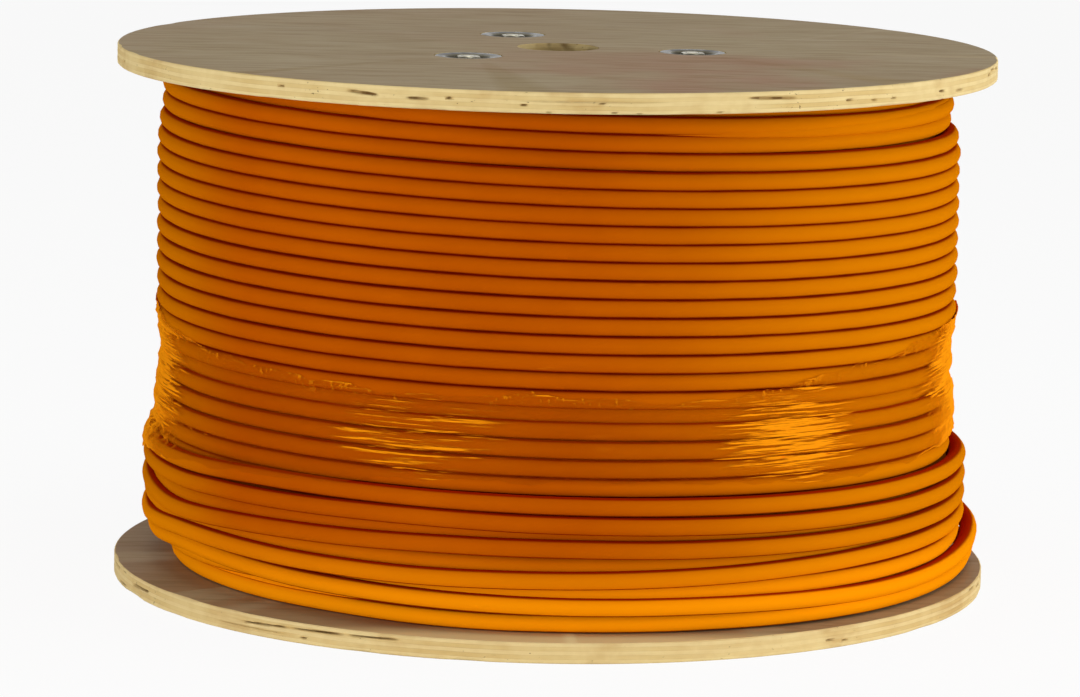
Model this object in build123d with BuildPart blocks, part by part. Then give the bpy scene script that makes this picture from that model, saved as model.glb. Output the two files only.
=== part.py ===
from build123d import *
from math import radians, sin, cos
import os

# Wooden cable drum standing on one flange, in millimetres.
# The drum's axis is Z, and the origin is the centre of the face that it stands on.

# Flanges: two plywood discs
flange_diameter = 400
flange_thickness = 9
traverse = 225
spindle_bore_diameter = 37

# Barrel: a wound paper tube, let into a groove in the inner face of each flange
barrel_diameter = 160
barrel_wall = 5
barrel_groove_depth = 3
barrel_groove_clearance = 0.3

# Tie rods: three threaded rods inside the barrel, which pull the flanges onto it.
# Wood is left between the pocket of each cup washer and the barrel's groove.
tie_rod_count = 3
tie_rod_diameter = 6
tie_rod_first_angle = 110
pocket_to_groove_wood = 1.6
tie_rod_end_below_face = 0.1
tie_rod_end_chamfer = 0.6
tie_rod_hole_clearance = 0.3

# Cup washers: pressed steel, flush with the outer face of the flange
cup_lip_diameter = 30
cup_mouth_diameter = 20
cup_floor_diameter = 16.5
cup_depth = 6.5
cup_sheet = 1.2
cup_pocket_clearance = 0.3

# Hexagon nuts in the cups
nut_across_flats = 10
nut_height = 5
nut_corner_chamfer = 0.7
nut_thread_clearance = 0.1

# Cable: the winding's rows, counted from the lower flange.
# The last layer was wound only over some of the lower rows, so it stands out from the others.
cable_diameter = 8
winding_diameter = 366
winding_barrel_clearance = 0.3
row_ridge_height = 3
foot_rows = 2
foot_rise = 3
last_layer_rows = 5
last_layer_rise = 6
head_rows = 3
head_drop = 2

# Stretch film: many turns of clear film round the rows above the last layer
film_rows = 6
film_squeeze = 1
film_thickness = 0.4
film_clearance = 0.3

# Heights and radii that follow
overall_width = 2 * flange_thickness + traverse
lower_inner_face = flange_thickness
upper_inner_face = flange_thickness + traverse
flange_radius = flange_diameter / 2
barrel_radius = barrel_diameter / 2
tie_rod_radius = tie_rod_diameter / 2
tie_rod_hole_radius = tie_rod_radius + tie_rod_hole_clearance
winding_radius = winding_diameter / 2
row_count = max(1, int(traverse / cable_diameter))
row_pitch = traverse / row_count
film_first_row = foot_rows + last_layer_rows
film_end_row = film_first_row + film_rows

# The slanted wall of a cup, measured on the side that touches the wood
cup_wall_slope = (cup_mouth_diameter - cup_floor_diameter) / 2 / (cup_depth - cup_sheet)
cup_back_mouth_radius = cup_mouth_diameter / 2 + cup_sheet - cup_wall_slope * cup_sheet
cup_back_floor_radius = cup_floor_diameter / 2 + cup_sheet - cup_wall_slope * cup_sheet

# The pockets of the cups keep clear of the groove, and so set the circle of the rods
pocket_radius = cup_back_mouth_radius + cup_pocket_clearance
groove_inner_radius = barrel_radius - barrel_wall - barrel_groove_clearance
rod_circle_radius = groove_inner_radius - pocket_to_groove_wood - pocket_radius
rod_angles = [radians(tie_rod_first_angle + 360 / tie_rod_count * i) for i in range(tie_rod_count)]
rod_places = [(rod_circle_radius * cos(a), rod_circle_radius * sin(a)) for a in rod_angles]

os.makedirs("parts", exist_ok=True)


def finish(piece, label):
    """Label a finished piece and write its STEP file."""
    piece.label = label
    export_step(piece, f"parts/{label}.step")


def flange(outer_face, inner_face):
    """A plywood disc between two heights, with its bore, cup pockets, rod holes and barrel groove."""
    outwards = 1 if outer_face > inner_face else -1
    outside = Plane((0, 0, outer_face), x_dir=(1, 0, 0), z_dir=(0, 0, outwards))
    inside = Plane((0, 0, inner_face), x_dir=(1, 0, 0), z_dir=(0, 0, outwards))
    pockets = [(x, outwards * y) for x, y in rod_places]
    with BuildPart() as disc:
        with BuildSketch(inside):
            Circle(flange_radius)
            Circle(spindle_bore_diameter / 2, mode=Mode.SUBTRACT)
        extrude(amount=flange_thickness)
        with BuildSketch(inside):
            Circle(barrel_radius + barrel_groove_clearance)
            Circle(groove_inner_radius, mode=Mode.SUBTRACT)
        extrude(amount=barrel_groove_depth, mode=Mode.SUBTRACT)
        with BuildSketch(outside):
            with Locations(*pockets):
                Circle(cup_lip_diameter / 2 + cup_pocket_clearance)
        extrude(amount=-cup_sheet, mode=Mode.SUBTRACT)
        with BuildSketch(outside):
            with Locations(*pockets):
                Circle(pocket_radius)
        extrude(amount=-cup_depth, mode=Mode.SUBTRACT)
        with BuildSketch(outside):
            with Locations(*pockets):
                Circle(tie_rod_hole_radius)
        extrude(amount=-flange_thickness, mode=Mode.SUBTRACT)
    return disc.part


finish(flange(overall_width, upper_inner_face), "flange_top")
finish(flange(0, lower_inner_face), "flange_bottom")


# Barrel, from the floor of one groove to the floor of the other
with BuildPart() as barrel_tube:
    with BuildSketch(Plane.XY.offset(lower_inner_face - barrel_groove_depth)):
        Circle(barrel_radius)
        Circle(barrel_radius - barrel_wall, mode=Mode.SUBTRACT)
    extrude(amount=traverse + 2 * barrel_groove_depth)
finish(barrel_tube.part, "barrel_tube")


def row_radius(row):
    """Radius of the crest of a row, by the layer that it lies in."""
    if row < foot_rows:
        return winding_radius + foot_rise
    if row < film_first_row:
        return winding_radius + last_layer_rise
    if row < film_end_row:
        return winding_radius - film_squeeze
    if row >= row_count - head_rows:
        return winding_radius - head_drop
    return winding_radius


# Winding: one turned solid, with a ridge for each row of cable.
# The rows that the film hides are one plain band.
winding_bore = barrel_radius + winding_barrel_clearance
corners = [(winding_bore, lower_inner_face)]
for row in range(row_count):
    crest = row_radius(row)
    row_foot = lower_inner_face + row * row_pitch
    row_head = lower_inner_face + (row + 1) * row_pitch
    if film_first_row <= row < film_end_row:
        corners += [(crest, row_foot), (crest, row_head)]
    else:
        valley = crest - row_ridge_height
        corners += [(valley, row_foot), (crest, (row_foot + row_head) / 2), (valley, row_head)]
corners.append((winding_bore, upper_inner_face))
outline = [corner for corner, last in zip(corners, [None] + corners) if corner != last]
with BuildPart() as cable_winding:
    with BuildSketch(Plane.XZ):
        with BuildLine():
            Polyline(*outline, close=True)
        make_face()
    revolve(axis=Axis.Z)
finish(cable_winding.part, "cable_winding")


# Stretch film, on the crests of the rows that it squeezes
with BuildPart() as stretch_film:
    with BuildSketch(Plane.XY.offset(lower_inner_face + film_first_row * row_pitch)):
        film_bore = winding_radius - film_squeeze + film_clearance
        Circle(film_bore + film_thickness)
        Circle(film_bore, mode=Mode.SUBTRACT)
    extrude(amount=film_rows * row_pitch)
finish(stretch_film.part, "stretch_film")


def tie_rod(place):
    """A threaded rod at a place on the rod circle, chamfered at both ends."""
    with BuildPart() as rod:
        with BuildSketch(Plane.XY.offset(tie_rod_end_below_face)):
            with Locations(place):
                Circle(tie_rod_radius)
        extrude(amount=overall_width - 2 * tie_rod_end_below_face)
        chamfer(rod.edges().filter_by(GeomType.CIRCLE), tie_rod_end_chamfer)
    return rod.part


def seat(place, outer_face, outwards):
    """The upright plane through a rod whose Y axis points out of the drum from the outer face."""
    return Plane((place[0], place[1], outer_face), x_dir=(1, 0, 0), z_dir=(0, -outwards, 0))


def cup_washer(section):
    """A pressed cup: a flat lip, a slanted wall and a holed floor, turned about the rod."""
    with BuildPart() as cup:
        with BuildSketch(section):
            with BuildLine():
                Polyline(
                    (tie_rod_hole_radius, -cup_depth),
                    (cup_back_floor_radius, -cup_depth),
                    (cup_back_mouth_radius, -cup_sheet),
                    (cup_lip_diameter / 2, -cup_sheet),
                    (cup_lip_diameter / 2, 0),
                    (cup_mouth_diameter / 2, 0),
                    (cup_floor_diameter / 2, cup_sheet - cup_depth),
                    (tie_rod_hole_radius, cup_sheet - cup_depth),
                    close=True,
                )
            make_face()
        revolve(axis=Axis(section.origin, section.y_dir))
    return cup.part


def nut(section):
    """A hexagon nut on the floor of a cup, with the corners of its outer face chamfered."""
    floor = cup_sheet - cup_depth
    corner_radius = nut_across_flats / 2 / cos(radians(30))
    seat_plane = Plane(section.origin + section.y_dir * floor, x_dir=(1, 0, 0), z_dir=section.y_dir)
    with BuildPart() as hexagon:
        with BuildSketch(seat_plane):
            RegularPolygon(corner_radius, 6)
        extrude(amount=nut_height)
        with BuildSketch(section):
            with BuildLine():
                Polyline(
                    (tie_rod_radius + nut_thread_clearance, floor),
                    (corner_radius, floor),
                    (corner_radius, floor + nut_height - nut_corner_chamfer / 2),
                    (corner_radius - nut_corner_chamfer, floor + nut_height),
                    (tie_rod_radius + nut_thread_clearance, floor + nut_height),
                    close=True,
                )
            make_face()
        revolve(axis=Axis(section.origin, section.y_dir), mode=Mode.INTERSECT)
    return hexagon.part


for number, place in enumerate(rod_places, start=1):
    finish(tie_rod(place), f"tie_rod_{number}")
    for side, outer_face, outwards in (("top", overall_width, 1), ("bottom", 0, -1)):
        finish(cup_washer(seat(place, outer_face, outwards)), f"cup_washer_{side}_{number}")
        finish(nut(seat(place, outer_face, outwards)), f"nut_{side}_{number}")
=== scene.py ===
"""Looks of a wooden cable drum: two plywood flanges, wound with orange cable and wrapped in film.

Lengths are in metres and angles in degrees. Round the drum, an angle is measured from the front (-Y)
towards the right (+X).
"""

import logging
import math
import random
from collections.abc import Sequence
from dataclasses import asdict, dataclass, fields, replace
from enum import Enum, IntEnum
from types import SimpleNamespace
from typing import Self

import bmesh
import bpy
from mathutils import Matrix, Vector, noise
from mathutils.bvhtree import BVHTree


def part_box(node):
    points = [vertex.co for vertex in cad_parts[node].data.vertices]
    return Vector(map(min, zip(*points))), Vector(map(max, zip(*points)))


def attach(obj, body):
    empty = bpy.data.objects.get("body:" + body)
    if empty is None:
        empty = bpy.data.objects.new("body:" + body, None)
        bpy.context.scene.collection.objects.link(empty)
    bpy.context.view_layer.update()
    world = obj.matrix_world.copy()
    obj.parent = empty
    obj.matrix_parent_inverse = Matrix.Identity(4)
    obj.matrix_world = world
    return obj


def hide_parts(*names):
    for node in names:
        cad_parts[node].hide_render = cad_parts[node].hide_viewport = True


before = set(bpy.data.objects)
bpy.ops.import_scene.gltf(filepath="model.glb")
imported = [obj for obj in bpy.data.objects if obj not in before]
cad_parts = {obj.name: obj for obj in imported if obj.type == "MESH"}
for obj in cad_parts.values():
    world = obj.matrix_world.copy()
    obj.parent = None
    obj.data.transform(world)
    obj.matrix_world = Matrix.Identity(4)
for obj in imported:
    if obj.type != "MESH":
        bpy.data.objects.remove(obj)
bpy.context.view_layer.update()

LOG = logging.getLogger("cable_drum")
MM = 0.001
ROD_NUMBERS = (1, 2, 3)
Colour = tuple[float, float, float, float]
Socket = bpy.types.NodeSocket
Feed = Socket | float | int | bool | tuple[float, ...]
Ring = list[bmesh.types.BMVert]


def shade(red: int, green: int, blue: int) -> Colour:
    """Turn a colour written in display values from 0 to 255 into a linear one.

    Args:
        red: Display red.
        green: Display green.
        blue: Display blue.

    Returns:
        The linear colour, opaque.
    """
    linear = [
        value / 12.92 if value <= 0.04045 else ((value + 0.055) / 1.055) ** 2.4
        for value in (red / 255, green / 255, blue / 255)
    ]
    return (linear[0], linear[1], linear[2], 1.0)


def value_round(path: Sequence[tuple[float, ...]], angle: float) -> list[float]:
    """Pass a smooth closed line through values that are given at some angles round the drum.

    Args:
        path: Tuples of an angle and one or more values, in the order of the angles.
        angle: Where the line is read, in degrees from -180 to 180.

    Returns:
        The values at that angle.
    """
    before = [(step[0] - 360.0, *step[1:]) for step in path[-2:]]
    after = [(step[0] + 360.0, *step[1:]) for step in path[:2]]
    steps = [*before, *path, *after]
    last = next(i for i in range(2, len(steps)) if angle <= steps[i][0])
    outer, start, end, further = steps[last - 2:last + 2]
    width = end[0] - start[0]
    part = (angle - start[0]) / width
    values = []
    for k in range(1, len(start)):
        leaving = (end[k] - outer[k]) / (end[0] - outer[0]) * width
        arriving = (further[k] - start[k]) / (further[0] - start[0]) * width
        rest = start[k] - end[k]
        cubic = 2.0 * rest + leaving + arriving
        square = -3.0 * rest - 2.0 * leaving - arriving
        values.append(((cubic * part + square) * part + leaving) * part + start[k])
    return values


def turn_between(start: float, end: float) -> float:
    """Return the turn from one angle to another, from -180 to 180 degrees."""
    return (end - start + 180.0) % 360.0 - 180.0


def place_round(radius: float, turned: float, height: float = 0.0) -> tuple[float, float, float]:
    """Return the place at a radius, at an angle in radians round the drum, and at a height."""
    return radius * math.sin(turned), -radius * math.cos(turned), height


def rod_centre(number: int) -> tuple[float, float]:
    """Return where a tie rod stands, as X and Y, from its box in the frame."""
    low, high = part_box(f"tie_rod_{number}")
    return (low.x + high.x) / 2, (low.y + high.y) / 2


class Side(Enum):
    """Which flange something belongs to; the value is the way that its outer face looks."""

    TOP = 1
    BOTTOM = -1

    @property
    def word(self) -> str:
        """The side as it is written in a node's name."""
        return self.name.lower()


class Surface(IntEnum):
    """The places of a flange's two materials in its mesh."""

    VENEER = 0
    SAWN = 1


class NodeTree:
    """Adds nodes to a tree and links them."""

    def __init__(self, tree: bpy.types.NodeTree) -> None:
        """Take the tree that the nodes go into.

        Args:
            tree: A material's, a world's or a node group's tree.
        """
        self.tree = tree

    def node(self, kind: str, feeds: dict[str | int, Feed] | None = None,
             **settings: object) -> bpy.types.Node:
        """Add one node.

        Args:
            kind: The node's type name.
            feeds: What each input takes, by the input's name or number.
            **settings: The node's own options.

        Returns:
            The new node.
        """
        made = self.tree.nodes.new(kind)
        for option, value in settings.items():
            setattr(made, option, value)
        for socket, value in (feeds or {}).items():
            self.feed(made.inputs[socket], value)
        return made

    def feed(self, socket: Socket, value: Feed) -> None:
        """Link a socket to an output, or give it a plain value.

        Args:
            socket: The input to set.
            value: An output to link, or the value itself.
        """
        if isinstance(value, Socket):
            self.tree.links.new(value, socket)
        else:
            socket.default_value = value

    def math(self, operation: str, *values: Feed) -> Socket:
        """Add a Math node and return its result."""
        return self.node("ShaderNodeMath", dict(enumerate(values)), operation=operation).outputs[0]

    def vector_math(self, operation: str, *vectors: Feed) -> Socket:
        """Add a Vector Math node and return its result, which is a number for a dot product."""
        made = self.node("ShaderNodeVectorMath", dict(enumerate(vectors)), operation=operation)
        return made.outputs["Value" if operation == "DOT_PRODUCT" else "Vector"]

    def contrast(self, value: Feed, amount: Feed) -> Socket:
        """Spread a value about 0.5 by an amount, held within 0 and 1."""
        spread = self.math("MULTIPLY", self.math("SUBTRACT", value, 0.5), amount)
        return self.node("ShaderNodeMath", {0: spread, 1: 0.5}, operation="ADD", use_clamp=True).outputs[0]

    def ramp(self, value: Feed, start: Feed, end: Feed, low: Feed = 0.0, high: Feed = 1.0,
             smooth: bool = True) -> Socket:
        """Map a value from one range to another, held at both ends.

        Args:
            value: The value to map.
            start: Where the result is low.
            end: Where the result is high.
            low: The result at the start.
            high: The result at the end.
            smooth: Whether the two ends are eased.

        Returns:
            The mapped value.
        """
        feeds = {"Value": value, "From Min": start, "From Max": end, "To Min": low, "To Max": high}
        kind = "SMOOTHSTEP" if smooth else "LINEAR"
        return self.node("ShaderNodeMapRange", feeds, interpolation_type=kind).outputs[0]

    def vector(self, x: Feed, y: Feed, z: Feed) -> Socket:
        """Join three numbers into a vector."""
        return self.node("ShaderNodeCombineXYZ", {0: x, 1: y, 2: z}).outputs[0]

    def noise(self, vector: Feed, scale: Feed, detail: float = 3.0,
              roughness: float = 0.5) -> Socket:
        """Add a noise texture and return its value, which is about 0 to 1.

        Args:
            vector: Where the noise is read.
            scale: How many features there are in a metre.
            detail: How many finer layers it has.
            roughness: How strong the finer layers are.

        Returns:
            The noise value.
        """
        feeds = {"Vector": vector, "Scale": scale, "Detail": detail, "Roughness": roughness}
        return self.node("ShaderNodeTexNoise", feeds).outputs[0]


def input_name(label: str) -> str:
    """Write the name of a size as the name of a tree's input, such as Row Pitch for row_pitch."""
    return label.replace("_", " ").title()


class GeometryTree(NodeTree):
    """A Geometry Nodes tree with named inputs, which ends in real faces with a material."""

    socket_kinds = {float: "NodeSocketFloat", int: "NodeSocketInt", bool: "NodeSocketBool"}

    def __init__(self, name: str) -> None:
        """Start an empty tree.

        Args:
            name: The tree's name.
        """
        super().__init__(bpy.data.node_groups.new(name, "GeometryNodeTree"))
        for way in ("INPUT", "OUTPUT"):
            self.tree.interface.new_socket("Geometry", in_out=way, socket_type="NodeSocketGeometry")
        self.entry = self.node("NodeGroupInput")

    def size(self, name: str, kind: str) -> Socket:
        """Add a named input and return its socket inside the tree.

        Args:
            name: The input's name.
            kind: The input's socket type.

        Returns:
            The socket to link from.
        """
        self.tree.interface.new_socket(name, in_out="INPUT", socket_type=kind)
        return self.entry.outputs[name]

    def inputs(self, sizes: type) -> SimpleNamespace:
        """Add a named input for each field of a dataclass of sizes.

        Args:
            sizes: The dataclass.

        Returns:
            The inputs' sockets inside the tree, by the names of the fields.
        """
        sockets = {
            item.name: self.size(input_name(item.name), self.socket_kinds[item.type])
            for item in fields(sizes)
        }
        return SimpleNamespace(**sockets)

    def close(self, geometry: Socket, smooth: bool = True) -> None:
        """End the tree in Realize Instances and Set Material.

        Args:
            geometry: The finished geometry.
            smooth: Whether its faces are shaded smooth.
        """
        shaded = self.node("GeometryNodeSetShadeSmooth", {"Geometry": geometry, "Shade Smooth": smooth})
        real = self.node("GeometryNodeRealizeInstances", {"Geometry": shaded.outputs[0]})
        material = self.size("Material", "NodeSocketMaterial")
        painted = self.node(
            "GeometryNodeSetMaterial", {"Geometry": real.outputs[0], "Material": material}
        )
        self.node("NodeGroupOutput", {"Geometry": painted.outputs[0]})

    def grow(self, name: str, sizes: object, material: bpy.types.Material,
             start: bpy.types.Mesh | None = None) -> bpy.types.Mesh:
        """Run the tree once and keep its result as a plain mesh.

        Args:
            name: The mesh's name.
            sizes: The dataclass of sizes that the tree's inputs were made from.
            material: The mesh's material.
            start: The mesh that goes into the tree, where it takes one.

        Returns:
            The mesh.
        """
        values = {input_name(label): value for label, value in asdict(sizes).items()}
        values["Material"] = material
        carrier = bpy.data.objects.new(name, start or bpy.data.meshes.new(name))
        bpy.context.scene.collection.objects.link(carrier)
        modifier = carrier.modifiers.new(name, "NODES")
        modifier.node_group = self.tree
        for item in self.tree.interface.items_tree:
            if item.in_out == "INPUT" and item.socket_type != "NodeSocketGeometry":
                modifier[item.identifier] = values[item.name]
        evaluated = carrier.evaluated_get(bpy.context.evaluated_depsgraph_get())
        mesh = bpy.data.meshes.new_from_object(evaluated)
        bpy.data.objects.remove(carrier)
        return mesh


def join_meshes(name: str, meshes: Sequence[bpy.types.Mesh]) -> bpy.types.Mesh:
    """Join meshes that share one material.

    Args:
        name: The new mesh's name.
        meshes: What is joined.

    Returns:
        One mesh.
    """
    work = bmesh.new()
    for mesh in meshes:
        work.from_mesh(mesh)
    joined = bpy.data.meshes.new(name)
    work.to_mesh(joined)
    work.free()
    joined.materials.append(meshes[0].materials[0])
    return joined


def point_ring(work: bmesh.types.BMesh, points: int, radius: float, height: float,
               centre: tuple[float, float] = (0.0, 0.0)) -> Ring:
    """Add a ring of points about an upright axis, or one point where the radius is nothing.

    Args:
        work: The mesh that they go into.
        points: How many there are.
        radius: The ring's radius.
        height: Its height.
        centre: Where its axis stands.

    Returns:
        The points in order.
    """
    if radius < 1e-7:
        return [work.verts.new((*centre, height))]
    angles = [math.tau * i / points for i in range(points)]
    return [
        work.verts.new((centre[0] + radius * math.cos(a), centre[1] + radius * math.sin(a), height))
        for a in angles
    ]


def band(work: bmesh.types.BMesh, first: Ring, second: Ring, material: int = 0) -> None:
    """Join two rings by a band of faces, to a point where one of them is a single point.

    Args:
        work: The mesh that they are in.
        first: One ring.
        second: The other ring.
        material: The number of the faces' material.
    """
    count = max(len(first), len(second))
    if count == 1:
        return
    for i in range(count):
        j = (i + 1) % count
        if len(first) == 1:
            corners = [first[0], second[j], second[i]]
        elif len(second) == 1:
            corners = [first[i], first[j], second[0]]
        else:
            corners = [first[i], first[j], second[j], second[i]]
        face = work.faces.new(corners)
        face.material_index = material
        face.smooth = True


def bands(work: bmesh.types.BMesh, rings: Sequence[Ring], material: int = 0,
          closed: bool = False) -> None:
    """Join rings, each to the next, by bands of faces.

    Args:
        work: The mesh that they are in.
        rings: The rings in order.
        material: The number of the faces' material.
        closed: Whether the last ring is joined to the first.
    """
    following = [*rings[1:], rings[0]] if closed else rings[1:]
    for first, second in zip(rings, following):
        band(work, first, second, material)


def finish_mesh(work: bmesh.types.BMesh, name: str, sharp_from: float = 35.0) -> bpy.types.Mesh:
    """Turn the faces outwards, and keep the mesh with its sharp edges marked.

    Args:
        work: The closed mesh that was built; it is freed.
        name: The kept mesh's name.
        sharp_from: The angle between faces from which an edge is sharp.

    Returns:
        The mesh.
    """
    bmesh.ops.recalc_face_normals(work, faces=work.faces[:])
    mesh = bpy.data.meshes.new(name)
    work.to_mesh(mesh)
    work.free()
    mesh.set_sharp_from_angle(angle=math.radians(sharp_from))
    return mesh


def place_piece(name: str, mesh: bpy.types.Mesh, slot: str, *nodes: str) -> bpy.types.Object:
    """Put a finished mesh in the scene as a piece of the drum.

    Args:
        name: The piece's name.
        mesh: Its mesh, already in its place.
        slot: The record's material slot; it is not used.
        *nodes: The construction's nodes that it stands for.

    Returns:
        The piece.
    """
    piece = bpy.data.objects.new(name, mesh)
    bpy.context.scene.collection.objects.link(piece)
    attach(piece, "root")
    if nodes:
        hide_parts(*nodes)
    LOG.info("%s: %d faces", name, len(mesh.polygons))
    return piece


class ShaderEffects:
    """Effects that more than one finish uses, each a node group that is built once."""

    def __init__(self) -> None:
        """Build the groups."""
        self.streaks = self._streaks()
        self.specks = self._specks()
        self.mottle = self._mottle()

    @staticmethod
    def _group(name: str, inputs: dict[str, object], output: str) -> tuple[NodeTree, dict[str, Socket]]:
        """Start a shader group that reads Object coordinates and puts out one value.

        Args:
            name: The group's name.
            inputs: Each input's name and its usual value.
            output: The output's name.

        Returns:
            The tree, and its input sockets by name.
        """
        tree = bpy.data.node_groups.new(name, "ShaderNodeTree")
        for label, value in inputs.items():
            kind = "NodeSocketVector" if isinstance(value, tuple) else "NodeSocketFloat"
            tree.interface.new_socket(label, in_out="INPUT", socket_type=kind).default_value = value
        tree.interface.new_socket(output, in_out="OUTPUT", socket_type="NodeSocketFloat")
        nodes = NodeTree(tree)
        entry = nodes.node("NodeGroupInput")
        return nodes, {label: entry.outputs[label] for label in inputs}

    def _streaks(self) -> bpy.types.NodeTree:
        """Build fine lines that run along one way, as wood grain does; 0 is dark and 1 is light.

        Returns:
            The group.
        """
        nodes, given = self._group(
            "grain_streaks", {"Stretch": (1.0, 30.0, 30.0), "Scale": 12.0, "Contrast": 1.0}, "Streak"
        )
        where = nodes.node("ShaderNodeTexCoord").outputs["Object"]
        bend = nodes.math("MULTIPLY", nodes.noise(where, 9.0, 2.0), 0.02)
        shifted = nodes.vector_math("ADD", where, nodes.vector(0.0, bend, 0.0))
        drawn = nodes.vector_math("MULTIPLY", shifted, given["Stretch"])
        fine = nodes.noise(drawn, given["Scale"], 6.0, 0.65)
        nodes.node("NodeGroupOutput", {0: nodes.contrast(fine, given["Contrast"])})
        return nodes.tree

    def _specks(self) -> bpy.types.NodeTree:
        """Build small scattered marks such as pores, chips and dirt; 1 is on a mark.

        Returns:
            The group.
        """
        nodes, given = self._group(
            "specks", {"Stretch": (1.0, 1.0, 1.0), "Scale": 300.0, "Share": 0.2, "Patches": 20.0}, "Mark"
        )
        where = nodes.node("ShaderNodeTexCoord").outputs["Object"]
        drawn = nodes.vector_math("MULTIPLY", where, given["Stretch"])
        grains = nodes.noise(drawn, given["Scale"], 2.0, 0.6)
        patches = nodes.noise(where, given["Patches"], 2.0)
        level = nodes.math("ADD", nodes.math("MULTIPLY", grains, 0.7), nodes.math("MULTIPLY", patches, 0.3))
        edge = nodes.math("SUBTRACT", 0.72, nodes.math("MULTIPLY", given["Share"], 0.3))
        mark = nodes.ramp(level, edge, nodes.math("ADD", edge, 0.05))
        nodes.node("NodeGroupOutput", {0: mark})
        return nodes.tree

    def _mottle(self) -> bpy.types.NodeTree:
        """Build broad soft patches, as of handling, stain or dust, from 0 to 1.

        Returns:
            The group.
        """
        nodes, given = self._group("mottle", {"Scale": 10.0, "Contrast": 1.0, "Shift": 0.0}, "Patch")
        where = nodes.node("ShaderNodeTexCoord").outputs["Object"]
        shift = nodes.vector(given["Shift"], given["Shift"], given["Shift"])
        broad = nodes.noise(nodes.vector_math("ADD", where, shift), given["Scale"], 4.0, 0.55)
        nodes.node("NodeGroupOutput", {0: nodes.contrast(broad, given["Contrast"])})
        return nodes.tree


class MaterialTree(NodeTree):
    """The node tree of one finish, around its Principled shader."""

    mix_inputs = {"mask": 0, "under": 6, "over": 7}
    mix_result = 2

    def __init__(self, name: str, **constants: float | Colour) -> None:
        """Start a material.

        Args:
            name: The material's name.
            **constants: Values of the shader that are the same all over, with _ for spaces.
        """
        self.material = bpy.data.materials.new(name)
        self.material.use_nodes = True
        super().__init__(self.material.node_tree)
        self.shader = self.tree.nodes["Principled BSDF"]
        self.paint(**constants)

    def paint(self, **feeds: Feed) -> None:
        """Set inputs of the shader, by their names with _ for spaces."""
        for label, value in feeds.items():
            self.feed(self.shader.inputs[label.replace("_", " ")], value)

    def attribute(self, name: str) -> Socket:
        """Return a value that the mesh holds at each of its points."""
        return self.node("ShaderNodeAttribute", attribute_name=name).outputs["Fac"]

    def effect(self, group: bpy.types.NodeTree, **values: Feed) -> Socket:
        """Place a shared effect with this finish's own values.

        Args:
            group: The shared group.
            **values: Its inputs, by name.

        Returns:
            The group's output.
        """
        placed = self.node("ShaderNodeGroup", node_tree=group)
        for label, value in values.items():
            self.feed(placed.inputs[label], value)
        return placed.outputs[0]

    def tint(self, under: Feed, over: Feed, mask: Feed, share: float = 1.0) -> Socket:
        """Lay one colour over another.

        Args:
            under: The colour underneath.
            over: The colour that is laid over it.
            mask: Where it is laid, from 0 to 1.
            share: How much of it shows where the mask is 1.

        Returns:
            The mixed colour.
        """
        if share != 1.0:
            mask = self.math("MULTIPLY", mask, share)
        mixer = self.node("ShaderNodeMix", data_type="RGBA")
        self.feed(mixer.inputs[self.mix_inputs["mask"]], mask)
        self.feed(mixer.inputs[self.mix_inputs["under"]], under)
        self.feed(mixer.inputs[self.mix_inputs["over"]], over)
        return mixer.outputs[self.mix_result]

    def bump(self, height: Feed, distance: float, strength: float = 1.0) -> None:
        """Raise the surface's shading by a height.

        Args:
            height: The height, from 0 to 1.
            distance: How far 1 stands above 0, in metres.
            strength: How much of that shows.
        """
        bump = self.node("ShaderNodeBump", {"Strength": strength, "Distance": distance, "Height": height})
        self.feed(self.shader.inputs["Normal"], bump.outputs[0])

    def object_place(self) -> tuple[Socket, Socket, Socket, Socket]:
        """Return Object coordinates, whole and as X, Y and Z."""
        where = self.node("ShaderNodeTexCoord").outputs["Object"]
        return where, *self.node("ShaderNodeSeparateXYZ", {0: where}).outputs


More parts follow.
